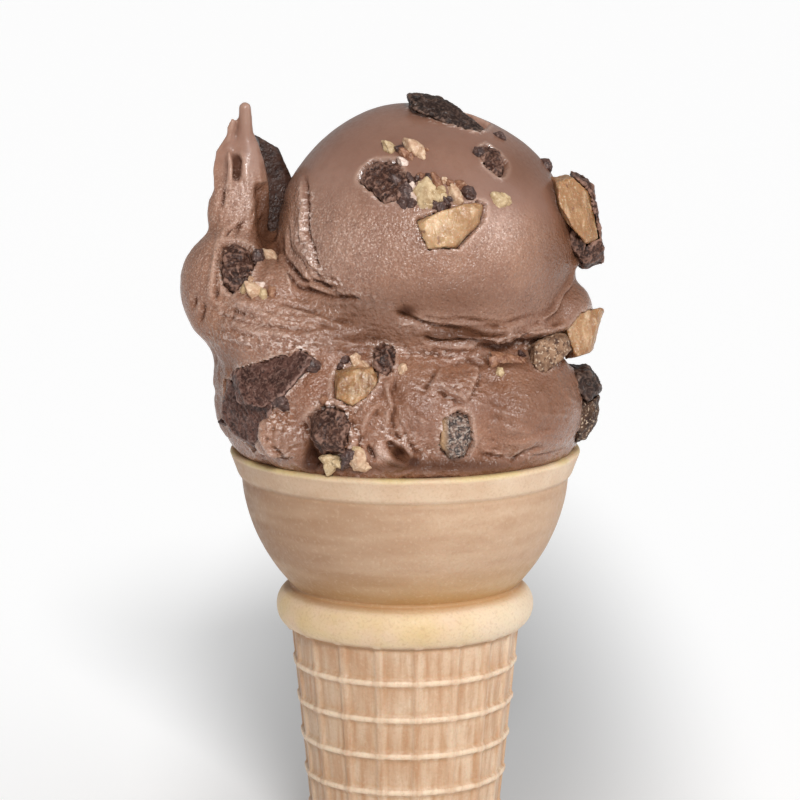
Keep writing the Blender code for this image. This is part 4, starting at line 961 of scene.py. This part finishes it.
def cup_outline():
    """(radius, height, share of rib) all round the wall, from the cup's floor over the rim to its foot."""
    points = [(r, z, 0.0) for r, z in cavity_outline(steps=8)]
    lip = CUP_HEIGHT - RIM_EDGE
    points += quarter_round(RIM_RADIUS - WALL + RIM_EDGE, lip, RIM_EDGE, 180, 6)
    points += quarter_round(RIM_RADIUS - RIM_EDGE, lip, RIM_EDGE, 90, 6)
    z = lip - OUTLINE_STEP
    while z > FOOT_EDGE:
        ribbed = soft_step(STEM_TOP + 0.8 - z, 0.0, 1.0) * soft_step(z - FOOT_BAND_HEIGHT + 0.6, 0.0, 0.8)
        ribbed *= 1 - RIB_LOST_AT_RINGS * ring_share(z)
        points.append((wall_radius(z), z, ribbed))
        z -= OUTLINE_STEP
    points += quarter_round(wall_radius(FOOT_EDGE) - FOOT_EDGE, FOOT_EDGE, FOOT_EDGE, 0, 4)
    points.append((0.0, 0.0, 0.0))
    return points


class Tree:
    """A node tree and short ways to add to it."""

    def __init__(self, tree):
        self.tree = tree

    def put(self, value, socket):
        """Links an output into a socket, or sets the socket to a plain value."""
        if isinstance(value, bpy.types.NodeSocket):
            self.tree.links.new(value, socket)
        else:
            socket.default_value = value

    def add(self, kind, inputs=(), **settings):
        """A new node with its settings and its inputs, by name or place."""
        node = self.tree.nodes.new(kind)
        for name, value in settings.items():
            setattr(node, name, value)
        for name, value in dict(inputs).items():
            self.put(value, node.inputs[name])
        return node

    def made(self, kind, inputs=(), **settings):
        """First output of a new node."""
        return self.add(kind, inputs, **settings).outputs[0]

    def maths(self, operation, *values):
        return self.made("ShaderNodeMath", enumerate(values), operation=operation)

    def times(self, first, *others):
        for other in others:
            first = self.maths("MULTIPLY", first, other)
        return first

    def ranged(self, value, low, high, to_low=0.0, to_high=1.0, kind="LINEAR"):
        """One range of values brought to another."""
        inputs = {"Value": value, "From Min": low, "From Max": high, "To Min": to_low, "To Max": to_high}
        return self.made("ShaderNodeMapRange", inputs, interpolation_type=kind)

    def share(self, value, none, full, most=1.0):
        """0 where a value is at none, and this much where it is at full."""
        return self.ranged(value, none, full, 0.0, most)

    def apart(self, place):
        """Across, depth and height of a place."""
        return self.add("ShaderNodeSeparateXYZ", {0: place}).outputs

    def vectors(self, operation, *values):
        return self.made("ShaderNodeVectorMath", enumerate(values), operation=operation)

    def scaled(self, vector, amount):
        return self.made("ShaderNodeVectorMath", {0: vector, "Scale": amount}, operation="SCALE")


class Modelling(Tree):
    """A tree of geometry nodes with named inputs."""

    def __init__(self, name, **inputs):
        super().__init__(bpy.data.node_groups.new(name, "GeometryNodeTree"))
        sockets = self.tree.interface
        sockets.new_socket("Geometry", in_out="INPUT", socket_type="NodeSocketGeometry")
        self.ids = {}
        kinds = {int: "NodeSocketInt", float: "NodeSocketFloat", bpy.types.Material: "NodeSocketMaterial"}
        for label, value in inputs.items():
            shown = label.replace("_", " ")
            socket = sockets.new_socket(shown, in_out="INPUT", socket_type=kinds[type(value)])
            self.ids[label] = (socket.identifier, value)
        sockets.new_socket("Geometry", in_out="OUTPUT", socket_type="NodeSocketGeometry")
        self.source = self.add("NodeGroupInput").outputs
        self.result = self.add("NodeGroupOutput").inputs[0]

    def given(self, *labels):
        """Inputs of the tree by name."""
        found = [self.source[label.replace("_", " ")] for label in labels]
        return found if len(found) > 1 else found[0]

    def named(self, attribute):
        return self.made("GeometryNodeInputNamedAttribute", {"Name": attribute}, data_type="FLOAT")

    def end(self, geometry):
        """Closes the tree: plain mesh with its finish."""
        real = self.made("GeometryNodeRealizeInstances", {0: geometry})
        smooth = self.made("GeometryNodeSetShadeSmooth", {0: real})
        inputs = {"Geometry": smooth, "Material": self.given("Finish")}
        self.put(self.made("GeometryNodeSetMaterial", inputs), self.result)

    def made_from(self, mesh):
        """The plain mesh that the tree makes from a start mesh."""
        start = object_from_mesh("start", mesh)
        modifier = start.modifiers.new("model", "NODES")
        modifier.node_group = self.tree
        for identifier, value in self.ids.values():
            modifier[identifier] = value
        return evaluated_mesh(start)


def cup_tree(points, finish):
    """Turns the outline about the axis and raises upright ribs on the stem."""
    tree = Modelling(
        "turned_wafer_cup",
        Outline_Points=points,
        Steps_Around=CUP_STEPS,
        Rib_Count=float(UPRIGHT_RIB_COUNT),
        Rib_Half_Width=UPRIGHT_RIB_WIDTH / 2,
        Rib_Height=UPRIGHT_RIB_HEIGHT,
        Rib_Turn=UPRIGHT_RIB_TURN,
        Warp=CUP_WARP,
        Finish=finish,
    )
    length, around, ribs = tree.given("Outline_Points", "Steps_Around", "Rib_Count")
    half, proud, turn, warp = tree.given("Rib_Half_Width", "Rib_Height", "Rib_Turn", "Warp")
    inputs = {"Vertices X": tree.maths("ADD", around, 1), "Vertices Y": length}
    grid = tree.made("GeometryNodeMeshGrid", inputs)
    index = tree.made("GeometryNodeInputIndex")
    row = tree.maths("MODULO", index, length)
    column = tree.maths("FLOOR", tree.maths("DIVIDE", index, length))

    def on_outline(kind, value):
        """What the outline says at this row of the grid."""
        inputs = {"Geometry": tree.source["Geometry"], "Value": value, "Index": row}
        return tree.made("GeometryNodeSampleIndex", inputs, data_type=kind)

    radius, _, height = tree.apart(on_outline("FLOAT_VECTOR", tree.made("GeometryNodeInputPosition")))
    ribbed = on_outline("FLOAT", tree.named("ribbed"))
    turns = tree.maths("DIVIDE", tree.times(column, ribs), around)
    wave = tree.maths("SINE", tree.times(turns, math.tau))
    crowded = tree.maths("ADD", turns, tree.times(wave, -RIB_CROWDING / math.tau))
    pitch = tree.maths("DIVIDE", math.tau, ribs)
    off = tree.maths("ABSOLUTE", tree.maths("SUBTRACT", crowded, tree.maths("ROUND", crowded)))
    off = tree.times(off, pitch, radius)
    rib = tree.ranged(off, tree.times(half, 1.5), tree.times(half, 0.45), kind="SMOOTHSTEP")
    reach = tree.maths("ADD", radius, tree.times(rib, proud, ribbed))
    angle = tree.maths("ADD", tree.times(crowded, pitch), turn)
    across, depth = (tree.times(reach, tree.maths(kind, angle)) for kind in ("COSINE", "SINE"))
    place = tree.made("ShaderNodeCombineXYZ", {0: across, 1: depth, 2: height})
    turned = tree.made("GeometryNodeSetPosition", {"Geometry": grid, "Position": place})
    merged = tree.made("GeometryNodeMergeByDistance", {"Geometry": turned, "Distance": MERGE_GAP})
    uneven = tree.add("ShaderNodeTexNoise", {"Scale": CUP_WARP_SCALE}).outputs["Color"]
    either_way = tree.vectors("SUBTRACT", uneven, (0.5, 0.5, 0.5))
    sideways = tree.made("ShaderNodeCombineXYZ", {0: warp, 1: warp})
    bend = tree.vectors("MULTIPLY", either_way, sideways)
    tree.end(tree.made("GeometryNodeSetPosition", {"Geometry": merged, "Offset": bend}))
    return tree


def make_cup(finish):
    outline = cup_outline()
    bm = bmesh.new()
    share = bm.verts.layers.float.new("ribbed")
    for radius, height, ribbed in outline:
        point = bm.verts.new((radius, 0, height))
        point[share] = ribbed
    start = mesh_from_bmesh("cup_outline", bm)
    mesh = cup_tree(len(outline), finish).made_from(start)
    bm = bmesh_of(mesh)
    bmesh.ops.remove_doubles(bm, verts=bm.verts[:], dist=CUP_WELD)
    bmesh.ops.recalc_face_normals(bm, faces=bm.faces[:])
    bm.to_mesh(mesh)
    bm.free()
    hollowness(mesh, *WAFER_HOLLOW)
    finished("moulded_wafer_cup", mesh, finish, ["wafer_cup"])


# Broken pieces and crumbs


def node_mesh(name):
    """A merged copy of a CAD node's mesh, in millimetres."""
    bm = bmesh_of(frame["nodes"][name].data)
    bmesh.ops.remove_doubles(bm, verts=bm.verts[:], dist=NODE_WELD)
    bmesh.ops.scale(bm, vec=(1 / MM, 1 / MM, 1 / MM), verts=bm.verts[:])
    return mesh_from_bmesh(name + "_copy", bm)


def broken_mesh(name, rugged):
    """Rough broken surface over the shape of a CAD node."""
    mesh = remeshed(node_mesh(name), PIECE_VOXEL, 1)
    places, normals = vertex_arrays(mesh)
    push = noise_at(places, BROKEN_SWELL_SIZE, 1.0) * BROKEN_SWELL
    for size, shift, crest, height in BROKEN_RIDGES:
        push += (crest - np.abs(noise_at(places, size, shift))) * height
    moved(mesh, places + normals * (push * rugged)[:, None])
    hollowness(mesh, *PIECE_HOLLOW)
    return mesh


def chip_shape(tree, number):
    """One angular chip with worn edges, about two across."""
    seed = tree.maths("ADD", tree.given("Seed"), number)
    inputs = {2: CHIP_NEAREST, 3: CHIP_FARTHEST, "Seed": seed}
    reach = tree.add("FunctionNodeRandomValue", inputs, data_type="FLOAT").outputs[1]
    place = tree.made("GeometryNodeInputPosition")
    ball = tree.made("GeometryNodeMeshIcoSphere", {"Subdivisions": 1})
    jagged = tree.made("GeometryNodeSetPosition", {"Geometry": ball, "Position": tree.scaled(place, reach)})
    hull = tree.made("GeometryNodeConvexHull", {"Geometry": jagged})
    divided = tree.made("GeometryNodeSubdivideMesh", {"Mesh": hull, "Level": tree.given("Detail")})
    inputs = {"Value": place, "Iterations": tree.given("Wear")}
    worn = tree.made("GeometryNodeBlurAttribute", inputs, data_type="FLOAT_VECTOR")
    chip = tree.made("GeometryNodeSetPosition", {"Geometry": divided, "Position": worn})
    return tree.made("GeometryNodeGeometryToInstance", {0: chip})


def crumb_tree(finish):
    """Sets a chip on every point, turned at random and as large as the point says."""
    tree = Modelling("crumbs", Detail=3, Wear=1, Ruggedness=0.3, Seed=5, Finish=finish)
    seed = tree.given("Seed")
    shapes = tree.add("GeometryNodeJoinGeometry")
    for number in range(CHIP_SHAPES):
        tree.put(chip_shape(tree, number * 10), shapes.inputs[0])

    def drawn(least, most, seed):
        """Random numbers, three for each point."""
        inputs = {"Min": least, "Max": most, "Seed": seed}
        return tree.made("FunctionNodeRandomValue", inputs, data_type="FLOAT_VECTOR")

    stretch = drawn(CRUMB_LEAST, CRUMB_MOST, tree.maths("ADD", seed, 1))
    inputs = {
        "Points": tree.source["Geometry"],
        "Instance": shapes.outputs[0],
        "Pick Instance": True,
        "Rotation": drawn((0.0, 0.0, 0.0), (math.tau,) * 3, seed),
        "Scale": tree.scaled(stretch, tree.named("radius")),
    }
    placed = tree.made("GeometryNodeInstanceOnPoints", inputs)
    real = tree.made("GeometryNodeRealizeInstances", {0: placed})
    coarse = tree.made("ShaderNodeTexNoise", {"Scale": 1.1, "Detail": 2.0})
    rise = tree.times(tree.maths("SUBTRACT", coarse, 0.5), tree.given("Ruggedness"), 2.4)
    push = tree.scaled(tree.made("GeometryNodeInputNormal"), rise)
    tree.end(tree.made("GeometryNodeSetPosition", {"Geometry": real, "Offset": push}))
    return tree


def make_crumbs(kind, tree, finish):
    """All the crumbs of one kind, set where they are seen on the skin."""
    spots = [(x, y, r, FRONT) for x, y, r in CRUMBS.get(kind, [])]
    spots += [(x, y, BACK_CRUMB_RADIUS, BACK) for x, y in BACK_CRUMBS.get(kind, [])]
    bm = bmesh.new()
    size = bm.verts.layers.float.new("radius")
    for x, y, radius, side in spots:
        point, normal = seen_on(tree, x, y, side)
        if point:
            grain = bm.verts.new(point + normal * radius * CRUMB_SUNK)
            grain[size] = radius * CRUMB_SCALE
    mesh = crumb_tree(finish).made_from(mesh_from_bmesh(kind + "_spots", bm))
    stored(mesh, "hollow", np.full(len(mesh.vertices), CRUMB_HOLLOW))
    finished(kind + "_crumbs", mesh, finish, [])


# Finishes


class Finish(Tree):
    """A material read at the object's own coordinates, in metres."""

    def __init__(self, name, roughness, **settings):
        self.material = bpy.data.materials.new(name)
        self.material.use_nodes = True
        super().__init__(self.material.node_tree)
        self.shader = self.tree.nodes["Principled BSDF"]
        self.place = self.add("ShaderNodeTexCoord").outputs["Object"]
        self.put(roughness, self.shader.inputs["Roughness"])
        for label, value in settings.items():
            self.shader.inputs[label.replace("_", " ")].default_value = value

    def grain(self, size, detail=2.0, stretch=None, warp=0.0):
        """Noise with features of this size in millimetres, squeezed along each axis where given."""
        place = self.place
        if stretch:
            place = self.made("ShaderNodeMapping", {"Vector": place, "Scale": stretch})
        inputs = {"Vector": place, "Scale": 1 / (size * MM), "Detail": detail, "Distortion": warp}
        return self.made("ShaderNodeTexNoise", inputs)

    def kept(self, name):
        return self.add("ShaderNodeAttribute", attribute_name=name).outputs["Fac"]

    def blend(self, share, one, other, kind="MIX"):
        one, other = ((*c, 1.0) if isinstance(c, tuple) else c for c in (one, other))
        inputs = {"Factor": share, 6: one, 7: other}
        return self.add("ShaderNodeMix", inputs, data_type="RGBA", blend_type=kind).outputs[2]

    def layered(self, colour, *layers):
        """Lays colours one over another, each by its share. Plain colours are in display steps."""
        for tint, share in layers:
            pair = (linear(*c) if isinstance(c, tuple) else c for c in (colour, tint))
            colour = self.blend(share, *pair)
        return colour

    def bumped(self, *layers):
        """Adds bumps, each (height, distance in millimetres, strength)."""
        normal = None
        for height, distance, strength in layers:
            inputs = {"Height": height, "Distance": distance * MM, "Strength": strength}
            if normal:
                inputs["Normal"] = normal
            normal = self.made("ShaderNodeBump", inputs)
        self.put(normal, self.shader.inputs["Normal"])
        return normal

    def painted(self, colour, roughness=None):
        self.put(colour, self.shader.inputs["Base Color"])
        if roughness is not None:
            self.put(roughness, self.shader.inputs["Roughness"])


def custard_finish():
    """Wet, finely granular chocolate custard, frosty, dark or smooth by zone; painted shade darkens its
    hollows and most dark zones, and painted highlights light its crests and glints.
    """
    f = Finish(
        "custard_skin",
        0.3,
        Subsurface_Weight=0.1,
        Subsurface_Scale=0.0015,
        Subsurface_Radius=(1.0, 0.45, 0.28),
        Coat_Roughness=0.12,
    )
    wet, hollow, crown, zone = (f.kept(name) for name in ("wet", "hollow", "smooth_top", "zone"))
    across, _, height = f.apart(f.place)
    bare = f.times(
        f.ranged(hollow, 0.52, 0.8, 1.0, 0.1),
        f.ranged(zone, -0.3, -1.4, 1.0, 0.15),
        f.ranged(across, *(c * MM for c in BARE_FLANK), 1.0, 0.25),
    )
    f.put(f.times(f.ranged(wet, 0.0, 0.7, 0.28, 0.85), bare), f.shader.inputs["Coat Weight"])
    f.put(f.times(bare, 0.5), f.shader.inputs["Specular IOR Level"])
    granular = f.maths("SUBTRACT", 1.0, crown)
    fine = f.grain(0.5)
    frost = f.times(f.share(zone, 0.0, 1.0), f.ranged(fine, 0.35, 0.65, 0.55, 1.0))
    # Pale frost specks, partly painted sparkle
    speck = f.times(f.share(f.grain(0.42, 1.0), 0.54, 0.64), f.ranged(zone, -0.1, 0.7, 0.14, 0.7), granular)
    pit = f.times(f.share(fine, 0.44, 0.3), f.times(granular, 0.4))
    # Painted glints on wet skin
    glint = f.share(f.grain(0.75, 1.0, stretch=(0.7, 1.0, 1.3)), 0.56, 0.63)
    glint = f.times(glint, wet, f.share(zone, -0.9, -0.1, 0.9))
    colour = f.layered((137, 94, 72), ((155, 112, 88), f.share(f.grain(8.0, 3.0), 0.35, 0.65)))
    low = f.share(height, *(c * MM for c in LOW_TINTED))
    colour = f.layered(
        f.blend(low, colour, LOW_TINT, "MULTIPLY"),
        ((142, 107, 93), f.times(crown, 0.6)),
        ((190, 156, 140), frost),
        ((126, 88, 70), f.share(f.grain(2.0), 0.42, 0.75, 0.45)),
        # Painted shade in hollows and painted highlight on crests
        ((80, 48, 35), f.share(hollow, 0.56, 0.88, 0.88)),
        ((198, 164, 145), f.share(hollow, 0.42, 0.14, 0.42)),
        ((216, 186, 170), speck),
        ((98, 64, 48), pit),
        ((236, 212, 200), glint),
        # Dark zones: mostly painted shade
        ((106, 69, 49), f.share(zone, 0.0, -1.0, 0.9)),
        ((70, 43, 32), f.share(zone, -0.9, -1.7, 0.9)),
    )
    rough = f.maths("ADD", f.ranged(f.grain(0.8), 0.35, 0.7, 0.22, 0.4), f.times(crown, 0.1))
    f.painted(colour, f.maths("SUBTRACT", rough, f.times(wet, 0.1)))
    normal = f.bumped(
        (f.grain(2.2), 0.35, f.times(granular, 0.6)),
        (f.grain(0.9), 0.3, f.times(granular, 0.9)),
        (fine, 0.24, f.ranged(crown, 0, 1, 1.0, 0.14)),
    )
    f.put(normal, f.shader.inputs["Coat Normal"])
    return f.material


def chocolate_finish(name, low, high, grit, edge, gritty):
    """Broken chocolate: dark and paler grains, with painted highlight along its crests and painted shade in
    its hollows.
    """
    f = Finish(name, 0.35, Specular_IOR_Level=0.2)
    hollow = f.kept("hollow")
    colour = f.layered(
        low,
        (high, f.share(f.grain(2.6, 3.0), 0.35, 0.65)),
        (grit, f.share(f.grain(0.9), 0.52, 0.68, gritty)),
        (grit, f.share(f.grain(0.45), 0.52, 0.64, gritty)),
        ((34, 22, 20), f.share(f.grain(0.6, 1.0), 0.42, 0.32, 0.7)),
        # Painted highlight on crests and painted shade in hollows
        (edge, f.share(hollow, 0.42, 0.15, 0.75)),
        ((30, 19, 17), f.share(hollow, 0.6, 0.9, 0.7)),
    )
    f.painted(colour, f.ranged(f.grain(1.1), 0.3, 0.7, 0.22, 0.5))
    f.bumped((f.grain(1.2), 0.3, 0.8), (f.grain(0.45), 0.18, 1.0))
    return f.material


def toffee_finish(name, low, high):
    """Amber toffee, fibrous and paler where it broke, with small dark spots; painted shade darkens its
    hollows and its right side.
    """
    f = Finish(name, 0.35, Subsurface_Weight=0.2, Subsurface_Scale=0.002)
    hollow = f.kept("hollow")
    fibre = f.grain(1.2, 3.0, stretch=(1.0, 1.0, 0.3), warp=0.6)
    across = f.apart(f.place)[0]
    colour = f.layered(
        low,
        (high, f.share(f.grain(3.6), 0.38, 0.62)),
        # Painted shade towards the right
        ((158, 114, 74), f.share(across, TOFFEE_SHADE_FROM * MM, TOFFEE_SHADE_TO * MM, 0.7)),
        ((226, 196, 160), f.share(fibre, 0.5, 0.7, 0.45)),
        ((158, 112, 72), f.share(fibre, 0.42, 0.28, 0.35)),
        # Painted shade in hollows
        ((112, 70, 46), f.share(hollow, 0.62, 0.95, 0.7)),
        ((112, 62, 42), f.share(f.grain(1.7, 1.0), 0.68, 0.75, 0.7)),
        ((232, 208, 178), f.share(f.grain(0.45, 1.0), 0.6, 0.75, 0.4)),
    )
    f.painted(colour, f.ranged(f.grain(0.8), 0.3, 0.7, 0.22, 0.5))
    f.bumped((fibre, 0.35, 0.8), (f.grain(0.4), 0.12, 0.7))
    return f.material


def biscuit_finish(name, low, high):
    """Speckled biscuit, pale and dark grains pressed together."""
    f = Finish(name, 0.5, Specular_IOR_Level=0.2)
    colour = f.layered(
        low,
        (high, f.share(f.grain(2.4), 0.4, 0.6)),
        ((66, 44, 36), f.share(f.grain(0.8), 0.54, 0.64, 0.85)),
        ((206, 182, 158), f.share(f.grain(0.5, 1.0), 0.58, 0.7, 0.8)),
    )
    f.painted(colour, f.ranged(f.grain(0.9), 0.3, 0.7, 0.3, 0.6))
    f.bumped((f.grain(0.9), 0.35, 0.9), (f.grain(0.4, 1.0), 0.16, 1.0))
    return f.material


def frosty_finish(name, low, high):
    """Dark chocolate biscuit under coarse frost, tan along its left side."""
    f = Finish(name, 0.5)
    colour = f.layered(
        low,
        (high, f.share(f.grain(0.75), 0.42, 0.58)),
        ((180, 164, 152), f.share(f.grain(0.5, 1.0), 0.54, 0.62, 0.65)),
        ((176, 138, 100), f.share(f.apart(f.place)[0], FROSTY_TAN_FROM * MM, FROSTY_TAN_TO * MM, 0.85)),
    )
    f.painted(colour, f.ranged(f.grain(0.9), 0.3, 0.7, 0.3, 0.6))
    f.bumped((f.grain(0.8), 0.3, 0.9), (f.grain(0.4, 1.0), 0.16, 1.0))
    return f.material


def crumb_finish(name, low, high, spots):
    f = Finish(name, 0.45)
    mottled = f.share(f.grain(1.1), 0.35, 0.65)
    spotted = f.share(f.grain(0.4, 1.0), 0.58, 0.7, 0.6)
    f.painted(f.layered(low, (high, mottled), (spots, spotted)))
    f.bumped((f.grain(0.6), 0.15, 0.7))
    return f.material


def wafer_finish():
    """Pale baked wafer, faintly mottled, streaked round the bowl and grained up the stem; painted shade
    darkens its left, its grooves and partly its waist, and painted light brightens its collar's right and
    crests.
    """
    f = Finish("wafer", 0.55, Subsurface_Weight=0.08, Subsurface_Scale=0.002)
    across, _, height = f.apart(f.place)
    hollow = f.kept("hollow")

    def level(none, full, most=1.0):
        """Share that grows from one height to another, in millimetres."""
        return f.share(height, none * MM, full * MM, most)

    over_waist = level(WAIST - 1.0, WAIST + 0.4)
    mottled = f.ranged(f.grain(7.0, 4.0, stretch=(1.0, 1.0, 2.5)), 0.3, 0.7, 0.65, 1.0)
    bowl = f.times(level(BAND_FOOT + 1.2, BAND_FOOT - 1.2), over_waist, mottled)
    waist = level(WAIST + 9.0, WAIST + 0.5, 0.9)
    left = f.share(across, *(c * MM for c in LEFT_SHADE), 0.85)
    smear = f.share(f.grain(9.0, 1.0, stretch=(0.4, 0.4, 3.0)), 0.45, 0.75, 0.22)
    collar = f.times(level(WAIST, WAIST - 1.5), level(STEM_TOP, STEM_TOP + 1.0))
    cream = f.layered((214, 186, 134), ((216, 186, 150), f.share(f.grain(6.0), 0.4, 0.65)))
    right = f.share(across, *(c * MM for c in RIGHT_LIGHT), 0.55)
    stem = level(STEM_TOP, STEM_TOP - 1.5)
    upright = f.share(f.grain(1.5, 3.0, stretch=(1.0, 1.0, 0.08)), 0.4, 0.7, 0.75)
    edge = level(CUP_HEIGHT - 1.1, CUP_HEIGHT - 0.3, 0.7)
    colour = f.layered(
        (203, 169, 138),
        ((218, 192, 164), f.share(f.grain(11.0, 3.0), 0.35, 0.65)),
        ((181, 145, 115), bowl),
        # Darker and yellower towards the waist crease, partly painted shade
        ((182, 138, 80), f.times(waist, over_waist)),
        # Painted shade on the left of the bowl
        ((130, 90, 56), f.times(left, f.ranged(bowl, 0.0, 0.6, 0.6, 1.0))),
        ((226, 200, 170), f.times(smear, over_waist)),
        (cream, f.times(collar, 0.75)),
        # Painted light on the right of the collar
        ((228, 212, 190), f.times(right, collar)),
        ((172, 124, 84), f.times(upright, stem)),
        # Painted shade in grooves and painted highlight on crests
        ((178, 132, 88), f.share(hollow, 0.58, 0.85, 0.6)),
        ((244, 222, 194), f.share(hollow, 0.42, 0.2, 0.6)),
        ((206, 184, 122), f.times(edge, f.ranged(f.grain(9.0, 1.0), 0.4, 0.6, 0.3, 1.0))),
        ((164, 122, 88), f.share(f.grain(0.55), 0.5, 0.7, 0.22)),
        ((232, 210, 184), f.share(f.grain(0.7), 0.55, 0.75, 0.14)),
    )
    f.painted(colour, f.ranged(f.grain(1.5), 0.3, 0.7, 0.45, 0.65))
    f.bumped(
        (f.grain(1.0, 3.0), 0.1, 0.6),
        (f.grain(1.0, stretch=(1.0, 1.0, 0.15)), 0.14, f.times(stem, 0.6)),
        (f.grain(0.35), 0.06, 0.7),
    )
    return f.material


# Stage


def make_stage():
    """Pale floor with a soft painted shadow behind the cup, a white sky and two soft lights."""
    bm = bmesh.new()
    bmesh.ops.create_grid(bm, x_segments=1, y_segments=1, size=6.0)
    floor = object_from_mesh("pale_floor", mesh_from_bmesh("pale_floor", bm))
    f = Finish("pale_floor", 0.9, Emission_Strength=FLOOR_GLOW)
    inputs = {"Vector": f.place}
    inputs["Location"] = [c * MM for c in PAINTED_SHADOW_CENTRE]
    inputs["Scale"] = [c * MM for c in PAINTED_SHADOW_REACH]
    shadow_pool = f.made("ShaderNodeMapping", inputs, vector_type="TEXTURE")
    away = f.add("ShaderNodeVectorMath", {0: shadow_pool}, operation="LENGTH").outputs["Value"]
    # Painted shadow: the floor's colour and glow darken in a soft pool behind the cup
    painted_shadow = f.ranged(away, *PAINTED_SHADOW_EDGE, 0.0, PAINTED_SHADOW_DEPTH, kind="SMOOTHSTEP")
    f.painted(f.blend(painted_shadow, (0.9, 0.9, 0.9), (0.1, 0.1, 0.1)))
    f.put(f.blend(painted_shadow, (1.0, 1.0, 1.0), (0.1, 0.1, 0.1)), f.shader.inputs["Emission Color"])
    floor.data.materials.append(f.material)
    world = bpy.data.worlds.new("studio")
    world.use_nodes = True
    sky = world.node_tree.nodes["Background"].inputs
    sky["Color"].default_value = (1, 1, 1, 1)
    sky["Strength"].default_value = SKY
    bpy.context.scene.world = world
    for light in LIGHTS:
        soft_light(*light)
    bpy.context.scene.view_settings.view_transform = "Standard"


def soft_light(name, place, width, strength):
    """Even light from one direction, as wide in the sky as its width in degrees."""
    light = bpy.data.lights.new(name, "SUN")
    light.angle = math.radians(width)
    light.energy = strength
    lamp = linked(name, light)
    lamp.rotation_euler = (-Vector(place)).to_track_quat("-Z", "Y").to_euler()


def make_camera():
    _, _, inward, eye = view_axes(FRONT)
    lens = bpy.data.cameras.new("camera")
    lens.sensor_width = SENSOR
    lens.lens = SENSOR * VIEW_DISTANCE / VIEW_WIDTH
    lens.clip_start = 0.01
    camera = linked("camera", lens)
    camera.location = eye * MM
    camera.rotation_euler = inward.to_track_quat("-Z", "Y").to_euler()
    bpy.context.scene.camera = camera


MAKERS = {
    "chocolate": chocolate_finish,
    "toffee": toffee_finish,
    "biscuit": biscuit_finish,
    "frosty": frosty_finish,
}


def main():
    pieces = []
    for finish_name, (maker, colours, slot, rugged, names) in PIECE_KINDS.items():
        finish = MAKERS[maker](finish_name, *colours)
        pieces += [(name, finish, slot, rugged) for name in names]
    trees = []
    for name, _, _, _ in pieces:
        copy = node_mesh(name)
        places, _ = vertex_arrays(copy)
        trees.append((places.min(0), places.max(0), skin_tree(copy)))
    skin = fine_skin(coarse_skin(), trees)
    tree = skin_tree(skin)
    make_scoops(skin, custard_finish())
    for name, finish, slot, rugged in pieces:
        finished(name + "_broken", broken_mesh(name, rugged), finish, [name])
    for kind, (slot, colours) in CRUMB_KINDS.items():
        make_crumbs(kind, tree, crumb_finish(kind + "_crumb", *colours))
    make_cup(wafer_finish())
    make_stage()
    make_camera()


main()
